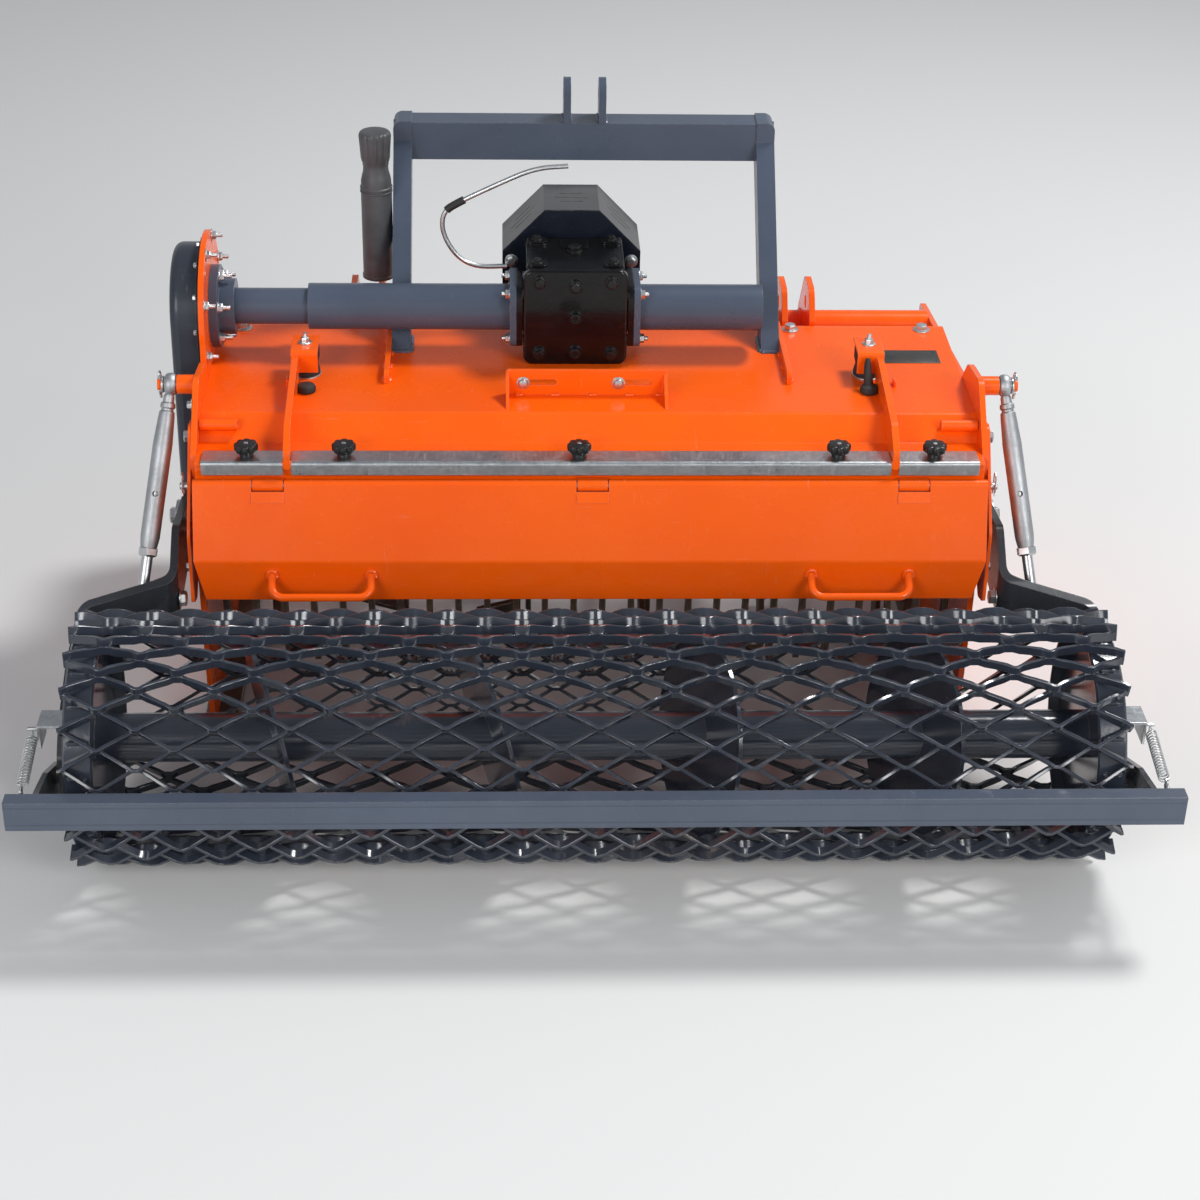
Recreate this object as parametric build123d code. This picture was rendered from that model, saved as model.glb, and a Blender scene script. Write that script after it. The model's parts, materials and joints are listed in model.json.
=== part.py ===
from build123d import *
import math
import os

# Stone burier for a compact tractor: hooded rotor, comb, rear door and a mesh roller on sprung arms.
# Sizes are in millimetres. While it is drawn, Y runs forward from the roller's axis and Z up from the floor.
# Each piece is moved on export so that the origin lies on the floor under the middle of the whole implement.

# Driving sizes of the body
WORK_HALF = 609.0          # half the width over the side plates
PLATE_T = 9.0              # side plate thickness
SHEET_T = 5.0              # hood, rail and bracket sheet
DOOR_T = 4.0               # door sheet
SKID_T = 12.0              # wear bar under each side plate
SKID_WIDE = 55.0
SKID_OUT = 12.0            # how far a skid stands out past its side plate
FIT = 0.3                  # gap between curved or moving pieces that seat on each other
BORE_FIT = 0.05            # gap round a pin or shaft in its bore
RUN = 6.0                  # free gap past a moving piece
FAR = 2000.0               # reach of a cut that goes right through

# Rotor
ROTOR_Y = 590.0
ROTOR_Z = 232.0
ROTOR_R = 222.0            # to the tips of the hoes
ROTOR_TUBE_R = 45.0
STUB_R = 22.0
BEARING_R = 40.0           # hole in a side plate for the rotor's bearing
FLANGE_R = 120.0
FLANGE_T = 10.0
FLANGE_COUNT = 6
FLANGE_TURN = 22.0         # each flange is turned this much past the last
HOES_PER_FLANGE = 6
HOE_T = 9.0
HOE_WIDE = 46.0
HOE_FOOT = 62.0
HOE_LAP = 62.0             # how far a hoe's shank overlaps its flange
HOE_TIP_GAP = 4.0          # the foot's flat lies this far inside its corners' circle

# Comb between the rotor and the door
COMB_R = 240.0
COMB_FROM, COMB_TO = 150, 214
COMB_TINE_D = 14.0
COMB_TINE_W = 10.0
COMB_PITCH = 46.0
COMB_BAR = (366.0, 388.0, 340.0, 362.0)
COMB_ARM_X = 461.0
COMB_ARM_T = 10.0
BUFFER_AT = (447.0, 517.0)
BUFFER_R = 22.0
BUFFER_WAIST = 3.0
BUFFER_TOP = 587.0
UNDER_BUFFER = 530.0
BUFFER_CLIP_Y = (482.0, 545.0)
BUFFER_CLIP_HALF = 21.0

# Drive line
DRIVE_Y = 608.0
DRIVE_Z = 615.0
GEARBOX_X = -20.0
GEARBOX_HALF = 94.0        # to the side flanges' outer faces
GEARBOX_BODY = 78.0
GEARBOX_Y = (566.0, 694.0)
GEARBOX_Z = (538.0, 698.0)
COVER_T = 14.0
COVER_HALF = 83.0
FLANGE_SIZE = 104.0        # square flanges beside the gearbox
FLANGE_PLATE_T = 10.0
DRIVE_HOLE_R = 40.0
LARGE_TUBE_R = 37.0
SMALL_TUBE_R = 29.0
STEP_X = -446.0            # where the left tube steps down
RIGHT_TUBE_END_X = 282.0
HUB_DEEP = 38.0
HUB_R = 66.0
CASE_R = 102.0             # drive case end radius
CASE_DEPTH = 48.0
CASE_LIP = 6.0
CASE_LIP_T = 5.0
TOWER_R = 121.0            # rounded head of the left side plate
PTO_R = 17.46
PTO_SEAT_R = 15.0
PTO_TIP_Y = 815.0
PTO_SHOULDER = 52.0        # from the gearbox's front to the shaft's full size
SNOUT_R = 42.0

# Roller
ROLLER_R = 190.0
ROLLER_HALF = 760.0
MESH_T = 15.0              # depth of a strand towards the axis
MESH_ROUND = 20            # rows of openings round the roller
MESH_ACROSS = 14           # openings along one row
STRAND_W = 6.0
BAND_W = 46.0
BAND_T = 7.0
BAND_R = 160.5             # outside of the ring within each end of the mesh
MESH_IN = 174.0
WEB_T = 6.0
CORE_R = 36.5
FLIGHT_T = 6.0
FLIGHT_X = (-475.0, -155.0, 155.0, 475.0)
END_PLATE_T = 8.0
AXLE_R = 12.5
BEARING_SPIGOT_R = 19.7

# Door
DOOR_HINGE_Y = 257.0
DOOR_HINGE_Z = 474.0
KNUCKLE_R = 9.0
KNUCKLE_W = 46.0
KNUCKLE_GAP = 1.5
KNUCKLE_X = (-490.0, 0.0, 490.0)
HINGE_PIN_R = 4.95
HINGE_PIN_HALF = 52.0
DOOR_BEND = (205.0, 370.0)
DOOR_LIP = (220.0, ROLLER_R + 106.0)   # swings past the roller at its highest with 5 mm to spare
DOOR_HALF = WORK_HALF - 6.0
DOOR_TAPER = 17.0          # how much narrower the door is below its lip
HANDLE_X = (-411.0, 411.0)
HANDLE_W = 162.0
HANDLE_R = 6.0

# Roller arms, turnbuckles and scraper
ARM_PIVOT = (430.0, 330.0)
ARM_T = 12.0
ARM_GAP = 25.0             # from side plate to arm
ARM_IN_X = WORK_HALF + ARM_GAP
ARM_END_GAP = 8.0          # from the roller's end to the arm
ARM_OUT_X = ROLLER_HALF + ARM_END_GAP
ARM_STEP = (ROLLER_R + 42.0, ROLLER_R - 2.0)
ARM_PIN_R = 15.0
TURN_TOP = (WORK_HALF + 37.0, 405.0, 572.0)
TURN_LOW = (ARM_IN_X + 59.0, 250.0, 281.0)
TURN_PIN_R = 9.5
TURN_EYE = 8.0             # half the width of an eye
TURN_SLACK = 3.0           # gap round the pin in the lower eye
TURN_BODY = 150.0
TURN_BODY_R = 15.0
TURN_NECK = 28.0
TURN_ROD_R = 8.5
SCRAPER_DEEP = 24.0
SCRAPER_TALL = 46.0
SCRAPER_OVER = 48.0        # how far the bar runs past the arms
SCRAPER_HALF = ARM_OUT_X + ARM_T + SCRAPER_OVER
SCRAPER_FACE = -ROLLER_R - 14.0
SCRAPER_Y = (SCRAPER_FACE - SCRAPER_DEEP, SCRAPER_FACE)
SCRAPER_LOW = ROLLER_R - 4.0
SCRAPER_Z = (SCRAPER_LOW, SCRAPER_LOW + SCRAPER_TALL)
SCRAPER_PIVOT = (-44.0, ROLLER_R - 50.0)
SCRAPER_PIN_R = 9.95
SCRAPER_ARM_T = 8.0
SCRAPER_ARM_GAP = 5.0
SPRING_X = ARM_OUT_X + ARM_T + 35.0
SPRING_R = 9.0
SPRING_TURNS = 14
SPRING_TOP = (-45.0, ROLLER_R + 41.0)
SPRING_LOW = (SCRAPER_FACE + 38.0, ROLLER_R + 18.0)

# Hitch
LOWER_PIN = (361.0, 795.0, 545.0)
LOWER_PIN_R = 11.0
LOWER_GAP = 36.0
LOWER_PLATE_T = 10.0
FRONT_TUBE_R = 24.0
FRONT_TUBE = (850.0, 480.0)
MAST_HALF = 300.0
MAST_BAR_X = 30.0
MAST_BAR_D = 44.0
MAST_FOOT = (618.0, 530.0)
MAST_HEAD = (863.0, 811.0)
MAST_BEAM_Y = (838.0, 888.0)
MAST_BEAM_Z = (779.0, 842.0)
MAST_PROUD = 3.0           # how far the uprights' heads stand out past the beam
EAR_X = 29.0
EAR_T = 12.0
EAR_R = 26.0
TOP_PIN = (862.0, 886.0)
TOP_PIN_R = 9.6
CANISTER_R = 26.5
CANISTER_TALL = 196.0
CANISTER_CAP = 56.0
CANISTER_AT = (768.0, 600.0)
CAP_RIBS = 16

# Fittings on the hood
STRIP_TOP = 510.0
STRIP_GAP = 6.0            # from a comb arm's middle to the strips beside it
STRIP_END = WORK_HALF - 19.0
KNOB_X = (-523.0, -376.0, -20.0, 376.0, 523.0)
KNOB_Y = 287.0
KNOB_R = 14.5
KNOB_LOBE_R = 4.0
KNOB_LOBES = 8
KNOB_NECK = 8.0
KNOB_TALL = 13.0
BRACKET_X = (-131.0, 121.0)
BRACKET_Y = (382.0, 440.0)
BRACKET_TOP = 581.0
BRACKET_SLOT = (61.0, 9.0)
BRACKET_SLOT_X = (-82.0, 67.0)
BRACKET_SLOT_Z = 560.0

# Guard over the input shaft
GUARD_Y = (705.0, 823.0)
GUARD_Z = (590.0, 672.0, 742.0)
GUARD_HALF = (113.0, 45.0)  # over the sides, over the flat top
GUARD_SHIFT = 3.0
GUARD_T = 3.0
HOOK_R = 4.0

HALF_IN = WORK_HALF - PLATE_T

# The whole implement runs from the scraper bar's back to the front of the side plates
PLATE_FRONT_Y = 928.0
MIDDLE_Y = (PLATE_FRONT_Y + SCRAPER_Y[0]) / 2

parts = {}


def slab(points, x0, x1, radius=0.0):
    """A plate whose side outline is points of (y, z), from x0 to x1, with rounded corners."""
    radii = radius if isinstance(radius, (list, tuple)) else [radius] * len(points)
    edge = FilletPolyline(*points, radius=radii, close=True)
    return extrude(Plane.YZ.offset(x0) * make_face(edge), amount=x1 - x0)


def offset_left(path, t):
    """The (y, z) path moved t to its left, with mitred corners."""
    out = []
    for i, p in enumerate(path):
        ahead = path[min(i + 1, len(path) - 1)]
        behind = path[max(i - 1, 0)]
        a = (Vector(*p) - Vector(*behind)) if i > 0 else (Vector(*ahead) - Vector(*p))
        b = (Vector(*ahead) - Vector(*p)) if i < len(path) - 1 else a
        na = Vector(-a.Y, a.X).normalized()
        nb = Vector(-b.Y, b.X).normalized()
        m = (na + nb).normalized()
        k = t / m.dot(nb)
        out.append((p[0] + m.X * k, p[1] + m.Y * k))
    return out


def folded(path, t, radius):
    """The outline of a plate of thickness t bent along path, on the path's left, and its corner radii."""
    inner = offset_left(path, t)
    turns = []
    for i in range(1, len(path) - 1):
        a = Vector(*path[i]) - Vector(*path[i - 1])
        b = Vector(*path[i + 1]) - Vector(*path[i])
        turns.append(1 if a.X * b.Y - a.Y * b.X > 0 else -1)
    near = [radius + t if s > 0 else radius for s in turns]
    far = [radius if s > 0 else radius + t for s in turns]
    return list(path) + inner[::-1], [0.0] + near + [0.0, 0.0] + far[::-1] + [0.0]


def sheet(path, t, x0, x1, radius=0.0):
    """A sheet of thickness t folded along path, lying on the path's left, from x0 to x1."""
    points, radii = folded(path, t, radius)
    return slab(points, x0, x1, radii)


def bar_x(y, z, r, x0, x1):
    """A round bar along X."""
    return Pos((x0 + x1) / 2, y, z) * Rot(0, 90, 0) * Cylinder(r, abs(x1 - x0))


def bar_y(x, z, r, y0, y1):
    """A round bar along Y."""
    return Pos(x, (y0 + y1) / 2, z) * Rot(90, 0, 0) * Cylinder(r, abs(y1 - y0))


def box(x0, x1, y0, y1, z0, z1):
    """A block between two corners."""
    return Pos((x0 + x1) / 2, (y0 + y1) / 2, (z0 + z1) / 2) * Box(x1 - x0, y1 - y0, z1 - z0)


def turned(profile):
    """A solid turned about Z from (radius, height) points, with its ends on the axis."""
    points = [(0, profile[0][1])] + profile + [(0, profile[-1][1])]
    return revolve(Plane.XZ * make_face(Polyline(*points, close=True)), Axis.Z)


def mirrored(shape):
    """The same piece on the other side of the implement."""
    return mirror(shape, Plane.YZ)


def rod_along(points, r, bend):
    """A round rod through points, with its corners bent to a radius."""
    path = FilletPolyline(*points, radius=bend)
    start = path % 0
    return sweep(Plane(origin=path @ 0, z_dir=start) * Circle(r), path=path)


def along(p, q, d, over=0.0):
    """The outline of a bar of depth d from p to q, drawn past both ends by over."""
    a = Vector(*p)
    b = Vector(*q)
    run = (b - a).normalized()
    n = Vector(-run.Y, run.X) * (d / 2)
    a, b = a - run * over, b + run * over
    return [(v.X, v.Y) for v in (a - n, b - n, b + n, a + n)]


def joined(shapes):
    """Several solids as one piece."""
    return shapes[0] + shapes[1:]


def add(name, shape):
    """Keep a piece under its name."""
    parts[name] = shape


# Side plates: one outline, and a rounded head for the drive on the left
PLATE_OUTLINE = [
    (300, SKID_T), (790, SKID_T), (PLATE_FRONT_Y, 300), (PLATE_FRONT_Y, 488), (512, 536),
    (474, 578), (382, 592), (292, 500), (285, 300),
]
PLATE_ROUND = [30, 130, 60, 12, 30, 22, 26, 40, 60]
TOWER_HALF = 120.0         # half the width of the head's shoulders


def side_plate(x0, x1):
    return slab(PLATE_OUTLINE, x0, x1, PLATE_ROUND)


def side_plates():
    hole = bar_x(ROTOR_Y, ROTOR_Z, BEARING_R, -FAR, FAR)
    hole += bar_x(*ARM_PIVOT, ARM_PIN_R, -FAR, FAR)
    add("side_plate_right", side_plate(HALF_IN, WORK_HALF) - hole)
    left = side_plate(-WORK_HALF, -HALF_IN)
    left += bar_x(DRIVE_Y, DRIVE_Z, TOWER_R, -WORK_HALF, -HALF_IN)
    shoulder = [(DRIVE_Y - TOWER_HALF - 18, 470), (DRIVE_Y + TOWER_HALF + 17, 470),
                (DRIVE_Y + TOWER_HALF, DRIVE_Z - 15), (DRIVE_Y - TOWER_HALF, DRIVE_Z - 15)]
    left += slab(shoulder, -WORK_HALF, -HALF_IN)
    add("side_plate_left", left - hole - bar_x(DRIVE_Y, DRIVE_Z, DRIVE_HOLE_R, -FAR, 0))


def skids():
    path = [(292, 0), (795, 0), (918, 255)]
    right = sheet(path, SKID_T, WORK_HALF - SKID_WIDE + SKID_OUT, WORK_HALF + SKID_OUT, 118)
    right -= side_plate(HALF_IN, WORK_HALF)
    add("skid_right", right)
    add("skid_left", mirrored(right))


# Hood, its rear rail and the front tube
HOOD_PATH = [(267, 505), (338, 505), (377, 538), (706, 540), (800, 474)]
RAIL_PATH = [(352, 500), (272, 500), (272, 452)]
HOOD_BEND = 6.0
UNDER_HOOD = 300.0


def hood():
    top = sheet(HOOD_PATH[::-1], SHEET_T, -HALF_IN, HALF_IN, HOOD_BEND)
    add("hood_panel", top)
    rail = sheet(RAIL_PATH, SHEET_T, -HALF_IN, HALF_IN, 3)
    add("rear_rail", rail)
    add("front_tube", bar_x(*FRONT_TUBE, FRONT_TUBE_R, -HALF_IN, HALF_IN))


def on_hood(shape):
    """A piece cut off where it stands on the hood."""
    under = [(HOOD_PATH[-1][0], UNDER_HOOD), (HOOD_PATH[0][0], UNDER_HOOD)]
    ridge = HOOD_BEND + SHEET_T
    return shape - slab(HOOD_PATH + under, -HALF_IN, HALF_IN, [0, HOOD_BEND, ridge, ridge, 0, 0, 0])


def hitch():
    """A clevis of two cheeks on the front tube, at each side."""
    x, y, z = LOWER_PIN
    cheek = [(886, 444), (886, 500), (y + 32, z + 36), (y - 32, z + 36), (y - 70, 532), (806, 470), (814, 444)]
    bores = bar_x(*FRONT_TUBE, FRONT_TUBE_R, 0, FAR) + bar_x(y, z, LOWER_PIN_R, 0, FAR)
    cheeks = []
    for side in (-1, 1):
        x0 = x + side * (LOWER_GAP + LOWER_PLATE_T) / 2
        plate = slab(cheek, x0 - LOWER_PLATE_T / 2, x0 + LOWER_PLATE_T / 2, [6, 10, 24, 24, 10, 4, 6])
        cheeks.append(plate - bores)
    ears = joined(cheeks)
    add("lower_lugs_right", ears)
    add("lower_lugs_left", mirrored(ears))


def mast():
    """Two leaning uprights whose heads hold a beam between them."""
    x0, x1 = MAST_HALF - MAST_BAR_X / 2, MAST_HALF + MAST_BAR_X / 2
    rear, front = MAST_BEAM_Y
    low, high = MAST_BEAM_Z
    upright = slab(along(MAST_FOOT, MAST_HEAD, MAST_BAR_D, 20), x0, x1, [20, 0, 0, 20])
    upright -= box(x0, x1, front, front + 100, low, high + 100)
    upright -= box(x0, x1, rear - 100, front + 100, high, high + 100)
    head = box(x0, x1, rear - MAST_PROUD, front, low, high + MAST_PROUD)
    head = fillet(head.edges().filter_by(Axis.Y).group_by(Axis.Z)[-1].sort_by(Axis.X)[-1], 14)
    upright = on_hood(upright) + head
    beam = box(-x0, x0, rear, front, low, high)
    add("mast", upright + mirrored(upright) + beam)
    y, z = TOP_PIN
    outline = [(y - EAR_R, high), (y - EAR_R, z + EAR_R), (y + EAR_R, z + EAR_R), (y + EAR_R, high)]
    ear = slab(outline, EAR_X - EAR_T / 2, EAR_X + EAR_T / 2, [0, EAR_R - 1, EAR_R - 1, 0])
    ear -= bar_x(y, z, TOP_PIN_R, 0, FAR)
    add("top_link_ears", ear + mirrored(ear))


def square_flange(x0, x1):
    """The flange between gearbox and drive tube, its corners rounded off past its bolts."""
    face = Plane.YZ.offset(x0) * Pos(DRIVE_Y, DRIVE_Z) * RectangleRounded(FLANGE_SIZE, FLANGE_SIZE, 18)
    return extrude(face, amount=x1 - x0)


def gearbox():
    y0, y1 = GEARBOX_Y
    z0, z1 = GEARBOX_Z
    x = GEARBOX_X
    lid_z = z1 - 12
    body = box(x - GEARBOX_BODY, x + GEARBOX_BODY, y0, y1, z0 + 14, lid_z)
    body = fillet(body.edges().filter_by(Axis.Y), 18)
    body += box(x - 70, x + 70, y0 + 6, y1 - 6, z0 - 8, z0 + 30)
    body += bar_x(DRIVE_Y, DRIVE_Z, 40, x - GEARBOX_HALF, x + GEARBOX_HALF)
    for side in (-1, 1):
        edge = x + side * GEARBOX_HALF
        body += square_flange(min(edge, edge - side * FLANGE_PLATE_T), max(edge, edge - side * FLANGE_PLATE_T))
    body += bar_y(x, DRIVE_Z, SNOUT_R, y1, y1 + 50)
    body -= bar_y(x, DRIVE_Z, PTO_R + RUN, y1 + 15, y1 + 65)
    body -= bar_y(x, DRIVE_Z, PTO_SEAT_R + BORE_FIT, y1 - 5, y1 + 25)
    add("gearbox_housing", on_hood(body))
    rear = box(x - COVER_HALF, x + COVER_HALF, y0 - COVER_T, y0, z0, z1 + 2)
    rear = fillet(rear.edges().filter_by(Axis.Y), 16)
    rear = fillet(rear.faces().sort_by(Axis.Y)[0].edges(), 4)
    bosses = [(-57, 66), (0, 59), (57, 66), (0, 6), (-57, -56), (0, -54), (57, -56)]
    rear += [bar_y(x + dx, DRIVE_Z + dz, 11, y0 - COVER_T - 3, y0 - COVER_T) for dx, dz in bosses]
    add("gearbox_rear_cover", on_hood(rear))
    lid = box(x - GEARBOX_BODY, x + GEARBOX_BODY, y0, y1, lid_z, z1)
    for dx in (-1, 1):
        for y in (y0 + 14, y1 - 16):
            pad = box(-16, 16, -12, 12, z1, z1 + 5)
            lid += Pos(x + dx * (GEARBOX_BODY - 18), y, 0) * fillet(pad.edges().filter_by(Axis.Z), 7)
    lid += box(x - 22, x + 22, y1 - 40, y1 - 12, z1, z1 + 3)
    add("gearbox_top_cover", lid)
    start, free = y1 - 4, y1 + PTO_SHOULDER
    add("pto_shaft", bar_y(x, DRIVE_Z, PTO_R, free, PTO_TIP_Y) + bar_y(x, DRIVE_Z, PTO_SEAT_R, start, free))


def drive_line():
    x_left = GEARBOX_X - GEARBOX_HALF
    x_hub = -HALF_IN + HUB_DEEP
    left = bar_x(DRIVE_Y, DRIVE_Z, LARGE_TUBE_R, STEP_X, x_left - FLANGE_PLATE_T)
    left += bar_x(DRIVE_Y, DRIVE_Z, SMALL_TUBE_R, x_hub, STEP_X)
    left += square_flange(x_left - FLANGE_PLATE_T, x_left)
    add("drive_tube_left", left)
    x_right = GEARBOX_X + GEARBOX_HALF
    right = bar_x(DRIVE_Y, DRIVE_Z, LARGE_TUBE_R, x_right + FLANGE_PLATE_T, RIGHT_TUBE_END_X)
    right += square_flange(x_right, x_right + FLANGE_PLATE_T)
    add("drive_tube_right", right)
    hub = bar_x(DRIVE_Y, DRIVE_Z, HUB_R, -HALF_IN, -HALF_IN + 14)
    hub += bar_x(DRIVE_Y, DRIVE_Z, 44, -HALF_IN + 14, x_hub)
    add("drive_hub_flange", hub)
    a = (DRIVE_Y, DRIVE_Z)
    b = (ROTOR_Y, ROTOR_Z)
    case = capsule(a, b, CASE_R, -WORK_HALF - CASE_DEPTH, -WORK_HALF)
    case = fillet(case.faces().sort_by(Axis.X)[0].edges(), 14)
    case += capsule(a, b, CASE_R + CASE_LIP, -WORK_HALF - CASE_LIP_T, -WORK_HALF)
    add("drive_case", case)
    cap = bar_x(ROTOR_Y, ROTOR_Z, HUB_R, WORK_HALF, WORK_HALF + 12)
    cap += bar_x(ROTOR_Y, ROTOR_Z, 46, WORK_HALF + 12, WORK_HALF + 34)
    add("rotor_bearing_cap", cap)
    ring = bar_x(ROTOR_Y, ROTOR_Z, BEARING_R - 2 * BORE_FIT, HALF_IN, WORK_HALF)
    ring -= bar_x(ROTOR_Y, ROTOR_Z, STUB_R + BORE_FIT, HALF_IN, WORK_HALF)
    add("rotor_bearings", ring + mirrored(ring))


def capsule(a, b, r, x0, x1):
    """A plate with two round ends, about the (y, z) points a and b."""
    return slab(along(a, b, 2 * r), x0, x1) + bar_x(*a, r, x0, x1) + bar_x(*b, r, x0, x1)


def rotor():
    body = bar_x(ROTOR_Y, ROTOR_Z, ROTOR_TUBE_R, -HALF_IN + RUN, HALF_IN - RUN)
    body += bar_x(ROTOR_Y, ROTOR_Z, STUB_R, -WORK_HALF + 1, WORK_HALF - 1)
    reach = HALF_IN - RUN - FLANGE_T - HOE_FOOT - HOE_T
    spacing = 2 * reach / (FLANGE_COUNT - 1)
    right, left = hoe(), mirrored(hoe())
    for i in range(FLANGE_COUNT):
        x = -reach + i * spacing
        body += bar_x(ROTOR_Y, ROTOR_Z, FLANGE_R, x - FLANGE_T / 2, x + FLANGE_T / 2)
        for k in range(HOES_PER_FLANGE):
            angle = 360 / HOES_PER_FLANGE * k + i * FLANGE_TURN
            body += Pos(x, ROTOR_Y, ROTOR_Z) * Rot(angle, 0, 0) * (left if k % 2 else right)
    add("rotor", body)


def hoe():
    """An L hoe standing up along +Z from the rotor's axis, bent over to the right, narrower to its tip."""
    x0 = FLANGE_T / 2
    x1, x2 = x0 + HOE_T, x0 + HOE_T + HOE_FOOT
    root, tip = FLANGE_R - HOE_LAP, ROTOR_R - HOE_TIP_GAP
    outline = [(x0, root), (x0, tip), (x2, tip), (x2, tip - HOE_T), (x1, tip - HOE_T), (x1, root)]
    bent = FilletPolyline(*outline, radius=[0, HOE_T + 4, 0, 0, 4, 0], close=True)
    blade = extrude(Plane.XZ * make_face(bent), amount=HOE_WIDE / 2, both=True)
    trim = Polyline((x1, HOE_WIDE / 2), (x2, HOE_WIDE / 2), (x2, HOE_WIDE / 2 - 20), close=True)
    return blade - extrude(make_face(trim), amount=ROTOR_R)


def comb():
    """Curved tines on a bar, hung from two arms through the hood."""
    mid = (COMB_FROM + COMB_TO) / 2
    r_out = COMB_R + COMB_TINE_D

    def at(r, a):
        return (ROTOR_Y + r * math.cos(math.radians(a)), ROTOR_Z + r * math.sin(math.radians(a)))

    arc_in = ThreePointArc(at(COMB_R, COMB_FROM), at(COMB_R, mid), at(COMB_R, COMB_TO))
    arc_out = ThreePointArc(at(r_out, COMB_TO), at(r_out, mid), at(r_out, COMB_FROM))
    ends = [Line(at(COMB_R, COMB_TO), at(r_out, COMB_TO)), Line(at(r_out, COMB_FROM), at(COMB_R, COMB_FROM))]
    face = make_face(Curve() + [arc_in, ends[0], arc_out, ends[1]])
    count = int(2 * (HALF_IN - 20) / COMB_PITCH)
    body = box(-HALF_IN + FIT, HALF_IN - FIT, *COMB_BAR)
    for i in range(count + 1):
        x = (i - count / 2) * COMB_PITCH
        body += extrude(Plane.YZ.offset(x - COMB_TINE_W / 2) * face, amount=COMB_TINE_W)
    hanger_top = HOOD_PATH[0][1] - SHEET_T
    for x in (-COMB_ARM_X, COMB_ARM_X):
        body += box(x - COMB_ARM_T / 2, x + COMB_ARM_T / 2, COMB_BAR[0] + 6, COMB_BAR[1] - 4, COMB_BAR[3], hanger_top)
    add("comb", body)


def top_fittings():
    x0, x1 = COMB_ARM_X - COMB_ARM_T / 2, COMB_ARM_X + COMB_ARM_T / 2
    foot = HOOD_PATH[0][1]
    rear = BUFFER_CLIP_Y[0]
    outline = [(262, foot), (262, foot + 21), (304, 556), (470, 584), (rear, 584), (rear, 530), (345, foot)]
    arm = on_hood(slab(outline, x0, x1, [0, 12, 30, 20, 0, 0, 0]))
    clip = [(BUFFER_CLIP_Y[1], BUFFER_TOP + SHEET_T), (rear, BUFFER_TOP + SHEET_T), (rear, 556)]
    arm += sheet(clip, SHEET_T, BUFFER_AT[0] - BUFFER_CLIP_HALF, BUFFER_AT[0] + BUFFER_CLIP_HALF, 2)
    add("comb_arms", arm + mirrored(arm))
    low = UNDER_BUFFER
    tall = BUFFER_TOP - low
    waist = BUFFER_R - BUFFER_WAIST
    profile = [(BUFFER_R, 0), (BUFFER_R, tall * 0.3), (waist, tall * 0.5), (BUFFER_R, tall * 0.7), (BUFFER_R, tall)]
    buffer = on_hood(Pos(*BUFFER_AT, low) * turned(profile))
    add("comb_buffers", buffer + mirrored(buffer))
    strips = []
    side = COMB_ARM_X + STRIP_GAP
    for a, b in ((-STRIP_END, -side), (-COMB_ARM_X + STRIP_GAP, COMB_ARM_X - STRIP_GAP), (side, STRIP_END)):
        strips.append(sheet([(302, STRIP_TOP), (262, STRIP_TOP), (262, STRIP_TOP - 22)], SHEET_T, a, b, 0))
    add("clamp_strips", joined(strips))
    lobes = [Circle(KNOB_R)] + [loc * Circle(KNOB_LOBE_R) for loc in PolarLocations(KNOB_R, KNOB_LOBES)]
    knob = Pos(0, 0, KNOB_NECK) * extrude(joined(lobes), amount=KNOB_TALL)
    knob += Pos(0, 0, KNOB_NECK / 2) * Cylinder(9, KNOB_NECK)
    add("star_knobs", joined([Pos(x, KNOB_Y, STRIP_TOP) * knob for x in KNOB_X]))
    slotted_bracket()
    x0 = MAST_HALF + MAST_BAR_X / 2
    rib = on_hood(slab([(480, 530), (480, 558), (690, 558), (690, 530)], x0, x0 + 8, [0, 10, 10, 0]))
    add("hood_ribs", rib + mirrored(rib))


def slotted_bracket():
    """An upright plate across the hood with two slots, held by a gusset at each end."""
    left, right = BRACKET_X
    back, front = BRACKET_Y
    low = HOOD_PATH[2][1] - SHEET_T
    wide, tall = right - left, BRACKET_TOP - low
    face = Pos((left + right) / 2, low + tall / 2) * RectangleRounded(wide, tall, 5)
    for x in BRACKET_SLOT_X:
        face -= Pos(x, BRACKET_SLOT_Z) * SlotOverall(*BRACKET_SLOT)
    plate = extrude(Plane.XZ.offset(-front) * face, amount=-SHEET_T)
    gusset = [(back, low), (front, BRACKET_TOP - 6), (front, low)]
    plate += [slab(gusset, x, x + SHEET_T) for x in (left, right - SHEET_T)]
    add("slotted_bracket", on_hood(plate))


def guard():
    """Half-octagon shield over the input shaft, with a back plate behind it."""
    y0, y1 = GUARD_Y
    x = GEARBOX_X - GUARD_SHIFT
    half, top = GUARD_HALF
    z0, z1, z2 = GUARD_Z
    face = [(x - half, z0), (x - half, z1), (x - top, z2), (x + top, z2), (x + half, z1), (x + half, z0)]
    inner = offset_left(face[::-1], GUARD_T)[::-1]
    ring = make_face(Polyline(*face, *inner[::-1], close=True))
    shell = extrude(Plane.XZ.offset(-y0) * ring, amount=-(y1 - y0))
    back = extrude(Plane.XZ.offset(-y0) * make_face(Polyline(*face, close=True)), amount=-GUARD_T)
    back -= bar_y(GEARBOX_X, DRIVE_Z, SNOUT_R, y0 - 10, y0 + 10)
    add("input_guard", shell + back)


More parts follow.
